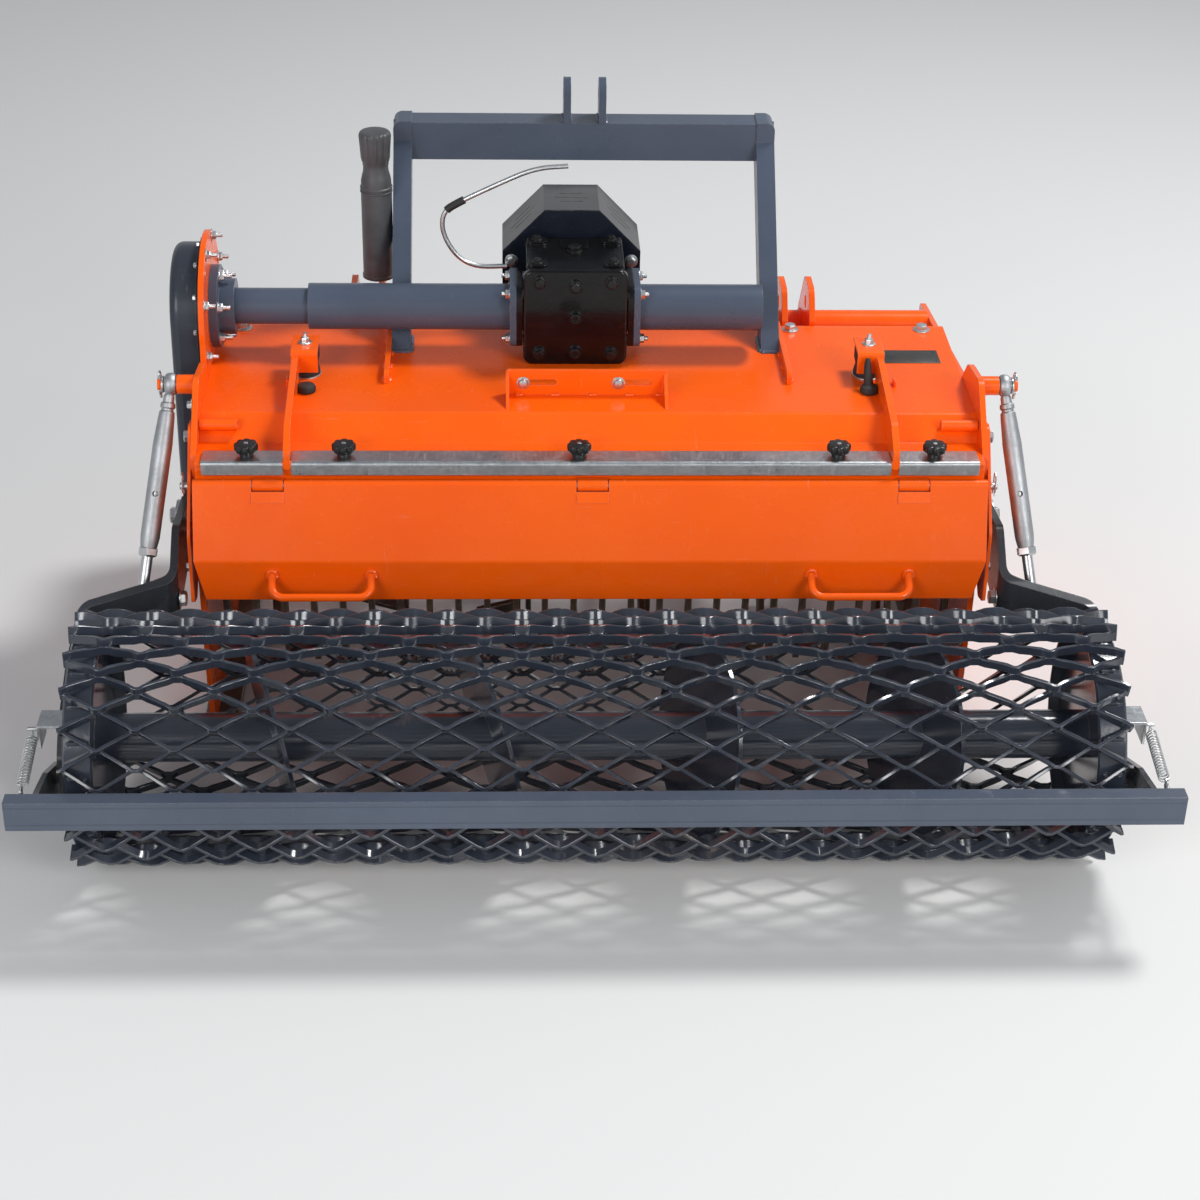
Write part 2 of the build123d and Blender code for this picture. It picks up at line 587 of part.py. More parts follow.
def canister():
    """A tall plastic tube with a groove, a shoulder and a ribbed cap."""
    x = -(MAST_HALF + MAST_BAR_X / 2 + CANISTER_R + FIT)
    y, z = CANISTER_AT
    r, tall = CANISTER_R, CANISTER_TALL
    neck = r - 7
    groove = r - 1.5
    profile = [(r, 0), (r, tall - 44), (groove, tall - 42), (groove, tall - 38), (r, tall - 36),
               (r, tall - 22), (neck, tall - 10), (neck, tall)]
    add("canister", Pos(x, y, z) * turned(profile))
    ribs = [Circle(r)] + [loc * Circle(1.5) for loc in PolarLocations(r, CAP_RIBS)]
    add("canister_cap", Pos(x, y, z + tall) * extrude(joined(ribs), amount=CANISTER_CAP))


def hook_rod():
    """A bent rod that stands on the back of the guard and holds the drive shaft's end."""
    y = GUARD_Y[0] - HOOK_R - 0.2
    points = [(-128, 647), (-180, 645), (-212, 664), (-234, 705), (-232, 740),
              (-206, 757), (-145, 787), (-84, 815), (-30, 819)]
    add("hook_rod", rod_along([(px, y, pz) for px, pz in points], HOOK_R, 12))


def door():
    y, z = DOOR_HINGE_Y, DOOR_HINGE_Z
    run = (Vector(*DOOR_BEND) - Vector(y, z)).normalized()
    top = Vector(y, z) + Vector(run.Y, -run.X) * KNUCKLE_R
    panel = sheet([(top.X, top.Y), DOOR_BEND, DOOR_LIP], DOOR_T, -DOOR_HALF, DOOR_HALF, 5)
    panel += bar_x(y, z, KNUCKLE_R, -DOOR_HALF, DOOR_HALF)
    low = DOOR_LIP[1] - 20
    corner = Polyline((DOOR_HALF, DOOR_BEND[1]), (DOOR_HALF, low), (DOOR_HALF - DOOR_TAPER, low), close=True)
    taper = extrude(Plane.XZ * make_face(corner), amount=-FAR)
    panel = panel - [taper, mirrored(taper)]
    notch = KNUCKLE_W / 2 + KNUCKLE_GAP
    deep = KNUCKLE_R + 11
    bore = HINGE_PIN_R + BORE_FIT
    panel = panel - [box(x - notch, x + notch, y - deep, y + deep, z - deep, z + deep) for x in KNUCKLE_X]
    panel = panel - [bar_x(y, z, bore, x - HINGE_PIN_HALF - 8, x + HINGE_PIN_HALF + 8) for x in KNUCKLE_X]
    add("door", panel)
    barrels, pins = [], []
    for x in KNUCKLE_X:
        a, b = x - KNUCKLE_W / 2, x + KNUCKLE_W / 2
        barrel = bar_x(y, z, KNUCKLE_R, a, b) + box(a, b, y, RAIL_PATH[1][0], z - 7, z + 7)
        barrels.append(barrel - bar_x(y, z, bore, a, b))
        pins.append(bar_x(y, z, HINGE_PIN_R, x - HINGE_PIN_HALF, x + HINGE_PIN_HALF))
    add("door_hinges", joined(barrels))
    add("door_hinge_pins", joined(pins))
    behind = [DOOR_BEND, DOOR_LIP, (300, DOOR_LIP[1]), (300, DOOR_BEND[1])]
    handles = []
    for x in HANDLE_X:
        w = HANDLE_W / 2 - HANDLE_R
        points = [(x - w, 213, 348), (x - w, 181, 322), (x + w, 181, 322), (x + w, 213, 348)]
        handles.append(rod_along(points, HANDLE_R, 18) - slab(behind, x - HANDLE_W, x + HANDLE_W))
    add("door_handles", joined(handles))


def shields():
    outline = [(405, 470), (405, 520), (330, 540), (232, 400), (228, 285), (262, 275), (290, 300), (300, 470)]
    plate = slab(outline, WORK_HALF, WORK_HALF + SHEET_T, [6, 10, 20, 30, 10, 10, 30, 20])
    add("side_shield_right", plate)
    add("side_shield_left", mirrored(plate))


# Roller arms: a plan that steps out past the roller's end, cut to a side outline
ARM_SIDE = [
    (474, 360), (300, 380), (284, 368), (232, 322), (188, 300), (60, ROLLER_R + 92), (-40, ROLLER_R + 50),
    (-76, ROLLER_R + 10), (-76, ROLLER_R - 78), (-10, ROLLER_R - 78), (150, ROLLER_R + 10), (188, 255), (474, 290),
]
ARM_SIDE_ROUND = [28, 20, 20, 30, 30, 30, 30, 20, 24, 20, 30, 20, 28]


def roller_arm():
    plan = [(ARM_IN_X, 478), (ARM_IN_X, ARM_STEP[0]), (ARM_OUT_X, ARM_STEP[1]), (ARM_OUT_X, -80)]
    points, radii = folded(plan, ARM_T, 14)
    tall = extrude(make_face(FilletPolyline(*points, radius=radii, close=True)), amount=FAR)
    arm = tall & slab(ARM_SIDE, 0, FAR, ARM_SIDE_ROUND)
    arm -= bar_x(*ARM_PIVOT, ARM_PIN_R + BORE_FIT, 0, FAR)
    arm -= bar_x(0, ROLLER_R, BEARING_SPIGOT_R + FIT, 0, FAR)
    arm -= bar_x(*SCRAPER_PIVOT, SCRAPER_PIN_R + BORE_FIT, 0, FAR)
    return arm


def arms():
    arm = roller_arm()
    add("roller_arm_right", arm)
    add("roller_arm_left", mirrored(arm))
    x, y, z = TURN_LOW
    near, far = ARM_IN_X, ARM_IN_X + ARM_T
    shoulder = x - 14
    peg = (bar_x(y, z, TURN_PIN_R + 2, far, shoulder) - arm).solids().sort_by(Axis.X)[-1]
    peg += bar_x(y, z, TURN_PIN_R, shoulder, x + 18)
    add("turnbuckle_lugs", peg + mirrored(peg))
    pivot = bar_x(*ARM_PIVOT, ARM_PIN_R, HALF_IN, far + 1)
    pivot += bar_x(*ARM_PIVOT, ARM_PIN_R + 10, far + 1, far + 9)
    pivot += bar_x(*ARM_PIVOT, ARM_PIN_R + 10, WORK_HALF, near - 1)
    add("arm_pins", pivot + mirrored(pivot))
    housing = bar_x(0, ROLLER_R, 36, ARM_OUT_X - 16, ARM_OUT_X)
    housing += bar_x(0, ROLLER_R, BEARING_SPIGOT_R, ARM_OUT_X, ARM_OUT_X + ARM_T)
    housing -= bar_x(0, ROLLER_R, AXLE_R + BORE_FIT, 0, FAR)
    add("roller_bearings", housing + mirrored(housing))
    spring_bracket(arm)
    spring = spring_body()
    add("scraper_springs", spring + mirrored(spring))


def spring_bracket(arm):
    """An angle on the arm's top whose outer leg holds the spring's hook."""
    y, z = SPRING_TOP
    x0 = ARM_OUT_X - 6
    x1 = x0 + 44
    rear, front = y - 17, y + 27
    top = z + 19
    bracket = box(x0, x1, rear, front, top - 4, top) + box(x1 - 4, x1, rear, front, z - 19, top - 4)
    bracket += box(x0 + 6, x0 + 18, rear + 12, front - 12, top - 14, top - 4)
    bracket = bracket - arm + bar_x(y + 5, z + 1, 3, x1, x1 + 18)
    add("spring_brackets", bracket + mirrored(bracket))


def spring_body():
    """The coil's outer shape, ring by ring, between its two straight ends."""
    a = Vector(SPRING_X, *SPRING_TOP)
    b = Vector(SPRING_X, *SPRING_LOW)
    long = (b - a).length
    pitch = (long - 24) / SPRING_TURNS
    profile = [(2.5, 0), (2.5, 12)]
    for i in range(SPRING_TURNS):
        profile += [(SPRING_R - 2.5, 12 + pitch * i), (SPRING_R, 12 + pitch * (i + 0.5))]
    profile += [(SPRING_R - 2.5, long - 12), (2.5, long - 12), (2.5, long)]
    return Plane(origin=a, z_dir=b - a) * turned(profile)


def turnbuckles():
    top = Vector(*TURN_TOP)
    low = Vector(*TURN_LOW)
    length = (low - top).length
    tilt = Plane(origin=top, z_dir=low - top)
    end = TURN_NECK + TURN_BODY
    r, neck = TURN_BODY_R, TURN_ROD_R
    profile = [(neck, 0), (neck, TURN_NECK), (r - 3, TURN_NECK + 2), (r - 3, TURN_NECK + 10), (r - 4, TURN_NECK + 12),
               (r - 1, TURN_NECK + 24), (r, TURN_NECK + 40), (r, end - 8), (r - 2, end)]
    bore = TURN_BODY - 45
    barrel = turned(profile) - Pos(0, 0, end - bore / 2) * Cylinder(TURN_ROD_R + FIT, bore)
    barrel = tilt * barrel
    barrel += [bar_x(top.Y, top.Z, 18, top.X - TURN_EYE, top.X + TURN_EYE),
               bar_x(top.Y, top.Z, 13, top.X - TURN_EYE - 1.5, top.X + TURN_EYE + 1.5)]
    barrel -= bar_x(top.Y, top.Z, TURN_PIN_R + FIT, 0, FAR)
    start = TURN_NECK + 65
    rod = tilt * (Pos(0, 0, (start + length) / 2) * Cylinder(TURN_ROD_R, length - start))
    rod += bar_x(low.Y, low.Z, 17, low.X - TURN_EYE, low.X + TURN_EYE)
    rod -= bar_x(low.Y, low.Z, TURN_PIN_R + TURN_SLACK, 0, FAR)
    add("turnbuckle_right", barrel)
    add("turnbuckle_left", mirrored(barrel))
    add("turnbuckle_rod_right", rod)
    add("turnbuckle_rod_left", mirrored(rod))
    boss = bar_x(top.Y, top.Z, 15, WORK_HALF, top.X - TURN_EYE - 2)
    boss += bar_x(top.Y, top.Z, TURN_PIN_R - FIT, top.X - TURN_EYE - 2, top.X + 20)
    add("turnbuckle_pegs", boss + mirrored(boss))


def roller():
    rim = bar_x(0, ROLLER_R, BAND_R, ROLLER_HALF - BAND_W, ROLLER_HALF)
    rim += bar_x(0, ROLLER_R, MESH_IN + 2, ROLLER_HALF - BAND_W / 2 - WEB_T / 2, ROLLER_HALF - BAND_W / 2 + WEB_T / 2)
    rim -= bar_x(0, ROLLER_R, BAND_R - BAND_T, 0, FAR)
    add("roller_cage", joined(cage_strips() + [rim, mirrored(rim)]))
    inner = BAND_R - BAND_T - FIT
    core = bar_x(0, ROLLER_R, CORE_R, -ROLLER_HALF + 28, ROLLER_HALF - 28)
    core += [bar_x(0, ROLLER_R, inner, x, x + END_PLATE_T) for x in (-ROLLER_HALF + 20, ROLLER_HALF - 28)]
    flight = Rot(0, 90, 0) * Cylinder(inner, FLIGHT_T)
    core += [Pos(x, 0, ROLLER_R) * Rot(0, math.copysign(9, x), 16) * flight for x in FLIGHT_X]
    core += bar_x(0, ROLLER_R, AXLE_R, -ARM_OUT_X - ARM_T + 1, ARM_OUT_X + ARM_T - 1)
    add("roller_core", core)


def cage_strips():
    """Expanded mesh: one flat strip of staggered diamonds, repeated round the roller with mitred sides."""
    half = 180 / MESH_ROUND
    out = (ROLLER_R - 0.5) * math.cos(math.radians(half))
    wide = 2 * out * math.tan(math.radians(half))
    length = 2 * ROLLER_HALF
    pitch = length / MESH_ACROSS
    lean = math.atan2(wide, pitch)
    a = pitch / 2 - STRAND_W / 2 / math.sin(lean)
    b = wide / 2 - STRAND_W / 2 / math.cos(lean)
    diamond = make_face(Polyline((-a, 0), (0, -b), (a, 0), (0, b), close=True))
    middle = [Pos(-length / 2 + pitch * (i + 0.5), 0) * diamond for i in range(MESH_ACROSS)]
    edges = [Pos(-length / 2 + pitch * i, s * wide / 2) * diamond for i in range(MESH_ACROSS + 1) for s in (-1, 1)]
    flat = Rectangle(length, wide) - (middle + edges)
    strip = Pos(0, 0, out) * extrude(flat, amount=-MESH_T)
    wedge = make_face(Polyline((0, 0), (-wide / 2, out), (wide / 2, out), close=True))
    strip = strip & extrude(Plane.YZ.offset(-length / 2) * wedge, amount=length)
    return [Pos(0, 0, ROLLER_R) * Rot(2 * half * (i + 0.5), 0, 0) * strip for i in range(MESH_ROUND)]


def scraper():
    add("scraper_bar", box(-SCRAPER_HALF, SCRAPER_HALF, *SCRAPER_Y, *SCRAPER_Z))
    y, z = SCRAPER_PIVOT
    x0 = ARM_OUT_X + ARM_T + SCRAPER_ARM_GAP
    x1 = x0 + SCRAPER_ARM_T
    rear = SCRAPER_Y[1]
    outline = [(y + 24, z - 24), (y + 24, z + 24), (y - 70, z + 66), (rear, SCRAPER_Z[1] - 6),
               (rear, SCRAPER_Z[0] + 4), (y - 70, z + 14), (y - 20, z - 24)]
    arm = slab(outline, x0, x1, [22, 22, 20, 0, 0, 20, 20]) - bar_x(y, z, SCRAPER_PIN_R + BORE_FIT, 0, FAR)
    add("scraper_arms", arm + mirrored(arm))
    pin = bar_x(y, z, SCRAPER_PIN_R, ARM_OUT_X, x1 + 1) + bar_x(y, z, SCRAPER_PIN_R + 5, x1 + 1, x1 + 5)
    add("scraper_pins", pin + mirrored(pin))
    eye = bar_y(SPRING_X, SPRING_LOW[1], 4, rear, SPRING_LOW[0] - 2)
    add("spring_eyes", eye + mirrored(eye))


side_plates()
skids()
hood()
hitch()
mast()
gearbox()
drive_line()
rotor()
comb()
top_fittings()
guard()
canister()
hook_rod()
door()
shields()
arms()
turnbuckles()
roller()
scraper()

os.makedirs("parts", exist_ok=True)
for name, shape in parts.items():
    export_step(Pos(0, -MIDDLE_Y, 0) * shape, "parts/" + name + ".step")
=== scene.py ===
import bpy
import bmesh
import json
import random
from math import cos, pi, radians, sin, sqrt
from mathutils import Matrix, Quaternion, Vector


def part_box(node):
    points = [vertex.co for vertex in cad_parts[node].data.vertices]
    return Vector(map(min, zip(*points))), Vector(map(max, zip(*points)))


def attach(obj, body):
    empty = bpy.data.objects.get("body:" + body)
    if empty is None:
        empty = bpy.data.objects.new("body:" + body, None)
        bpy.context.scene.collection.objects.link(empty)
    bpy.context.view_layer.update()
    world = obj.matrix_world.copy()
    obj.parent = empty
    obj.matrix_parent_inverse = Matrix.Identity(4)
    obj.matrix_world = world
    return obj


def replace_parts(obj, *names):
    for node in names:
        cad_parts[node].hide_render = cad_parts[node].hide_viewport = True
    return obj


# Stone burier seen from behind: hooded rotor, rear door, and a roller of expanded metal.
# Metres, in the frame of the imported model: X to the right, Y forward, Z up from the floor.
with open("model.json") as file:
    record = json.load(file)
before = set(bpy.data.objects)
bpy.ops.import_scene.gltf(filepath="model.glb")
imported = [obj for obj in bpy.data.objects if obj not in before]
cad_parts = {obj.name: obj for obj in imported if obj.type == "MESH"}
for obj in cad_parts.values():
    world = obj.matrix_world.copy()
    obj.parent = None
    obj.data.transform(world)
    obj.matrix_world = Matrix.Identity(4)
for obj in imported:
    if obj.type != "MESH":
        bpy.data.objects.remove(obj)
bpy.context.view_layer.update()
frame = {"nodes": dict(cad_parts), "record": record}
nodes = frame["nodes"]
X, Y, Z = Vector((1, 0, 0)), Vector((0, 1, 0)), Vector((0, 0, 1))

# Axes along X as (y, z), in millimetres forward from the roller's axis and up from the floor
ROLLER_BEHIND = 350        # from the frame's middle back to the roller's axis
DRIVE_AXIS = (608, 615)
ROTOR_AXIS = (590, 232)
ROLLER_AXIS = (0, 190)
FRONT_TUBE_AXIS = (850, 480)


def mm(x, y, z):
    """A place given in millimetres, with y forward from the roller's axis."""
    return Vector((x, y - ROLLER_BEHIND, z)) / 1000


def about(x, axis, reach, angle):
    """A place on a circle about one of the axes: x in metres, the reach in millimetres."""
    at = mm(0, axis[0] + reach * cos(angle), axis[1] + reach * sin(angle))
    at.x = x
    return at


def hood_z(y):
    """Height of the hood's flat top, in millimetres."""
    return 538 + (y - 377) * 2 / 329


def on_hood(x, y, up=0.0):
    return mm(x, y, hood_z(y) + up)


def circle(count):
    """Cosines and sines of evenly spaced places round a circle."""
    return [(cos(2 * pi * k / count), sin(2 * pi * k / count)) for k in range(count)]


# Camera, fitted to the photograph
PHOTO_WIDTH = 1200
FOCAL_PIXELS = 2404.8
SENSOR_MM = 36
EYE = Vector((-0.137, -3.3263, 2.167))
YAW, PITCH, ROLL = (radians(a) for a in (2.695, 30.340, 1.262))


def camera():
    ahead = Vector((sin(YAW) * cos(PITCH), cos(YAW) * cos(PITCH), -sin(PITCH)))
    level = Vector((cos(YAW), -sin(YAW), 0))
    up = level.cross(ahead)
    right = level * cos(ROLL) + up * sin(ROLL)
    top = up * cos(ROLL) - level * sin(ROLL)
    lens = bpy.data.cameras.new("photo_camera")
    lens.sensor_width = SENSOR_MM
    lens.lens = FOCAL_PIXELS / PHOTO_WIDTH * SENSOR_MM
    eye = bpy.data.objects.new("photo_camera", lens)
    bpy.context.scene.collection.objects.link(eye)
    eye.matrix_world = Matrix.Translation(EYE) @ Matrix((right, top, -ahead)).transposed().to_4x4()
    bpy.context.scene.camera = eye


# Soft key from high in front on the right, and two fills behind: name, place, width and watts
LAMPS = (("key", (2.3, 1.5, 4.8), 1.1, 180),
         ("fill_left", (-2.9, -4.3, 2.5), 2.6, 112),
         ("fill_right", (3.1, -4.2, 2.9), 2.2, 122))
LAMP_AIM = Vector((0, 0, 0.3))
ROOM = ((0.0, (0.66, 0.66, 0.66, 1)), (1.0, (0.24, 0.26, 0.29, 1)), (0.35, (0.34, 0.36, 0.39, 1)))
FLOOR_COLOUR = (0.74, 0.735, 0.72, 1)


def studio():
    """The lamps, and a pale room that darkens upward."""
    scene = bpy.context.scene
    scene.view_settings.view_transform = "Standard"
    for name, at, width, watts in LAMPS:
        light = bpy.data.lights.new(name, "AREA")
        light.shape, light.size, light.energy = "DISK", width, watts
        piece = bpy.data.objects.new(name, light)
        piece.location = at
        piece.rotation_mode = "QUATERNION"
        piece.rotation_quaternion = (LAMP_AIM - Vector(at)).to_track_quat("-Z", "Y")
        scene.collection.objects.link(piece)
    world = bpy.data.worlds.new("pale_room")
    scene.world = world
    world.use_nodes = True
    graph = Graph(world.node_tree)
    ramp = graph.node("ValToRGB")
    stops = ramp.color_ramp.elements
    for n, (level, colour) in enumerate(ROOM):
        stop = stops[n] if n < 2 else stops.new(level)
        stop.position, stop.color = level, colour
    graph.feed(ramp.inputs[0], graph.along(graph.node("TexCoord").outputs["Generated"], "Z"))
    graph.feed(world.node_tree.nodes["Background"].inputs["Color"], ramp.outputs[0])


def floor():
    bpy.ops.mesh.primitive_plane_add(size=40, location=(0, 0, 0))
    ground = bpy.context.object
    ground.name = "floor"
    pale, _, shader = finish_of("floor")
    shader["Base Color"].default_value = FLOOR_COLOUR
    shader["Roughness"].default_value = 0.75
    ground.data.materials.append(pale)


class Graph:
    """Short calls to build a node tree."""

    def __init__(self, tree):
        self.tree = tree

    def node(self, kind, **settings):
        made = self.tree.nodes.new("ShaderNode" + kind)
        for key, value in settings.items():
            setattr(made, key, value)
        return made

    def feed(self, socket, value):
        if isinstance(value, bpy.types.NodeSocket):
            self.tree.links.new(value, socket)
        elif value is not None:
            socket.default_value = value

    def maths(self, operation, a, b=None, clamp=False):
        made = self.node("Math", operation=operation, use_clamp=clamp)
        self.feed(made.inputs[0], a)
        self.feed(made.inputs[1], b)
        return made.outputs[0]

    def plus(self, a, b, clamp=False):
        return self.maths("ADD", a, b, clamp)

    def times(self, a, b, clamp=False):
        return self.maths("MULTIPLY", a, b, clamp)

    def blend(self, share, a, b):
        made = self.node("Mix", data_type="RGBA")
        for place, value in ((0, share), (6, a), (7, b)):
            self.feed(made.inputs[place], value)
        return made.outputs[2]

    def spread(self, value, low, high, to_low=0.0, to_high=1.0):
        made = self.node("MapRange")
        for socket, v in zip(made.inputs, (value, low, high, to_low, to_high)):
            self.feed(socket, v)
        return made.outputs[0]

    def along(self, vector, axis):
        split = self.node("SeparateXYZ")
        self.feed(split.inputs[0], vector)
        return split.outputs[axis]

    def place(self):
        return self.node("TexCoord").outputs["Object"]

    def noise(self, scale, detail, rough, stretch=None):
        where = self.place()
        if stretch:
            mapping = self.node("Mapping")
            mapping.inputs["Scale"].default_value = stretch
            self.feed(mapping.inputs[0], where)
            where = mapping.outputs[0]
        made = self.node("TexNoise")
        for label, value in (("Vector", where), ("Scale", scale), ("Detail", detail), ("Roughness", rough)):
            self.feed(made.inputs[label], value)
        return made.outputs["Fac"]

    def patches(self, scale, detail, rough, *limits):
        """Noise spread between its limits."""
        return self.spread(self.noise(scale, detail, rough), *limits)


# Shader effects used by more than one material
FLOAT, NORMAL = "NodeSocketFloat", "NodeSocketVector"
EFFECTS = {}


def group(name, given, results):
    """A new shared effect: its tree and graph, and what goes in and comes out."""
    tree = bpy.data.node_groups.new(name, "ShaderNodeTree")
    for label, value in given.items():
        tree.interface.new_socket(label, in_out="INPUT", socket_type=FLOAT).default_value = value
    for label, kind in results.items():
        tree.interface.new_socket(label, in_out="OUTPUT", socket_type=kind)
    inside = tree.nodes.new("NodeGroupInput").outputs
    return tree, Graph(tree), inside, tree.nodes.new("NodeGroupOutput").inputs


def worn_edges():
    """Mask of the sharp edges, broken up by noise, and a normal that rounds them."""
    tree, g, given, out = group("worn_edges", {"Radius": 0.0015, "Amount": 0.5}, {"Mask": FLOAT, "Round": NORMAL})
    bevel = g.node("Bevel", samples=6)
    g.feed(bevel.inputs["Radius"], given["Radius"])
    dot = g.node("VectorMath", operation="DOT_PRODUCT")
    g.feed(dot.inputs[0], bevel.outputs[0])
    g.feed(dot.inputs[1], g.node("NewGeometry").outputs["Normal"])
    edge = g.spread(dot.outputs["Value"], 0.995, 0.86)
    chips = g.patches(95, 5, 0.7, 0.66, 0.40)
    g.feed(out["Mask"], g.times(g.times(edge, chips), given["Amount"], clamp=True))
    g.feed(out["Round"], bevel.outputs[0])
    return tree


def field_dust():
    """Dry soil that lies on upward faces and clings low down."""
    tree, g, given, out = group("field_dust", {"Amount": 0.4, "Low": 0.1, "High": 0.7}, {"Mask": FLOAT})
    facing = g.spread(g.along(g.node("NewGeometry").outputs["Normal"], "Z"), 0.2, 1.0, 0.35, 1.0)
    lowness = g.spread(g.along(g.place(), "Z"), given["High"], given["Low"], 0.25, 1.0)
    patches = g.patches(7, 6, 0.65, 0.38, 0.72)
    specks = g.patches(160, 2, 0.5, 0.35, 0.65, 0.5, 1.0)
    mask = g.times(g.times(facing, lowness), g.times(patches, specks))
    g.feed(out["Mask"], g.times(mask, given["Amount"], clamp=True))
    return tree


def spray_skin():
    """Height of a sprayed coat: slow waves and fine grit."""
    tree, g, given, out = group("spray_skin", {"Wave": 60.0, "Grit": 900.0, "Grit Share": 0.25}, {"Height": FLOAT})
    wave = g.noise(given["Wave"], 2, 0.5)
    grit = g.times(g.noise(given["Grit"], 1, 0.5), given["Grit Share"])
    g.feed(out["Height"], g.plus(wave, grit))
    return tree


def scuffs():
    """Thin rubs that run one way, for plated and painted steel."""
    tree, g, given, out = group("scuffs", {"Scale": 30.0, "Low": 0.56, "High": 0.72}, {"Mask": FLOAT})
    long_way = g.noise(given["Scale"], 4, 0.6, (1.0, 9.0, 9.0))
    short_way = g.noise(given["Scale"], 4, 0.6, (7.0, 1.0, 1.3))
    g.feed(out["Mask"], g.spread(g.maths("MAXIMUM", long_way, short_way), given["Low"], given["High"]))
    return tree


def effect(graph, build, **values):
    """Places a shared effect in a material with its own values. It is built the first time."""
    if build not in EFFECTS:
        EFFECTS[build] = build()
    made = graph.node("Group", node_tree=EFFECTS[build])
    for key, value in values.items():
        graph.feed(made.inputs[key.replace("_", " ")], value)
    return made.outputs


def finish_of(name):
    """A new material, its graph, and its shader's sockets."""
    material = bpy.data.materials.new(name)
    material.use_nodes = True
    return material, Graph(material.node_tree), material.node_tree.nodes["Principled BSDF"].inputs


def bump(graph, shader, height, strength, distance, rounded):
    """Relief of a skin over edges that are rounded already."""
    made = graph.node("Bump")
    for label, value in (("Strength", strength), ("Distance", distance), ("Height", height), ("Normal", rounded)):
        graph.feed(made.inputs[label], value)
    graph.feed(shader["Normal"], made.outputs[0])


def clear_coat(shader, weight, roughness, specular=0.5):
    shader["Coat Weight"].default_value = weight
    shader["Coat Roughness"].default_value = roughness
    shader["Specular IOR Level"].default_value = specular


def shade(colour, times, plus=0.0):
    return tuple(min(1.0, c * times + plus) for c in colour[:3]) + (1,)


SOIL = (0.20, 0.145, 0.095, 1)
BARE_STEEL = (0.36, 0.34, 0.32, 1)
WORN_STEEL = (0.5, 0.49, 0.47, 1)
RUBBED_PAINT = (0.55, 0.50, 0.46, 1)
RUBBED_CASTING = (0.10, 0.10, 0.10, 1)
RUBBED_MOULDING = (0.22, 0.22, 0.22, 1)
RUBBED_MESH = (0.30, 0.30, 0.30, 1)
RUBBED_BAR = (0.24, 0.26, 0.29, 1)
GRAIN_GLEAM = (0.85, 0.87, 0.88, 1)
FORGED, RUSTED = (0.075, 0.062, 0.052, 1), (0.17, 0.105, 0.06, 1)
DARK_RUST, DRY_RUST = (0.17, 0.10, 0.06, 1), (0.30, 0.24, 0.19, 1)
GROOVE_SHADE = (0.02, 0.025, 0.035, 1)
GASKET = (0.012, 0.012, 0.012, 1)


def paint(name, colour, deep, rough=0.24, coat=0.12, dust=0.10, chips=0.4, radius=0.0016):
    """Sprayed gloss paint: slow tone changes, rubbed edges and dust."""
    material, g, shader = finish_of(name)
    body = g.blend(g.patches(3.2, 5, 0.6, 0.35, 0.7), colour, deep)
    edges = effect(g, worn_edges, Radius=radius, Amount=chips)
    rubs = effect(g, scuffs, Scale=26.0, Low=0.66, High=0.80)["Mask"]
    soil = effect(g, field_dust, Amount=dust)["Mask"]
    scuffed = g.blend(g.times(rubs, 0.12), body, RUBBED_PAINT)
    g.feed(shader["Base Color"], g.blend(soil, g.blend(edges["Mask"], scuffed, BARE_STEEL), SOIL))
    matt = g.plus(g.times(soil, 0.5), g.times(rubs, 0.2))
    wander = g.patches(9, 4, 0.6, 0.3, 0.7, rough - 0.06, rough + 0.08)
    g.feed(shader["Roughness"], g.plus(wander, matt, clamp=True))
    clear_coat(shader, coat, 0.12, 0.28)
    bump(g, shader, effect(g, spray_skin)["Height"], 0.10, 0.0006, edges["Round"])
    return material


def casting(name, colour, rough):
    """Gloss paint over a sand casting."""
    material, g, shader = finish_of(name)
    edges = effect(g, worn_edges, Radius=0.003, Amount=0.10)
    soil = effect(g, field_dust, Amount=0.05)["Mask"]
    tone = g.blend(g.patches(14, 5, 0.6, 0.35, 0.7), colour, shade(colour, 1.8))
    g.feed(shader["Base Color"], g.blend(soil, g.blend(edges["Mask"], tone, RUBBED_CASTING), SOIL))
    g.feed(shader["Roughness"], g.patches(30, 4, 0.6, 0.3, 0.7, rough - 0.06, rough + 0.10))
    clear_coat(shader, 0.25, 0.07, 0.2)
    height = effect(g, spray_skin, Wave=170.0, Grit=700.0, Grit_Share=0.5)["Height"]
    bump(g, shader, height, 0.35, 0.0010, edges["Round"])
    return material


def plated(name, colour, rough, spangle=0.0, radius=0.0008, cells_per_metre=95.0):
    """Zinc on steel: bright plating, or hot-dipped with its grains."""
    material, g, shader = finish_of(name)
    shader["Metallic"].default_value = 1.0
    edges = effect(g, worn_edges, Radius=radius, Amount=0.0)
    cells = g.node("TexVoronoi")
    g.feed(cells.inputs["Vector"], g.place())
    g.feed(cells.inputs["Scale"], cells_per_metre)
    tone = g.blend(g.patches(24, 5, 0.65, 0.3, 0.7), colour, shade(colour, 0.72))
    facets = g.times(g.along(cells.outputs["Color"], "X"), spangle)
    soil = effect(g, field_dust, Amount=0.35)["Mask"]
    g.feed(shader["Base Color"], g.blend(soil, g.blend(facets, tone, GRAIN_GLEAM), SOIL))
    rubs = effect(g, scuffs, Scale=38.0, Low=0.50, High=0.72)["Mask"]
    uneven = g.plus(g.times(rubs, 0.14), g.times(g.along(cells.outputs["Color"], "Y"), 0.12 * spangle))
    g.feed(shader["Roughness"], g.plus(g.plus(uneven, rough), g.times(soil, 0.5), clamp=True))
    bump(g, shader, g.noise(240, 3, 0.6), 0.12, 0.0004, edges["Round"])
    return material


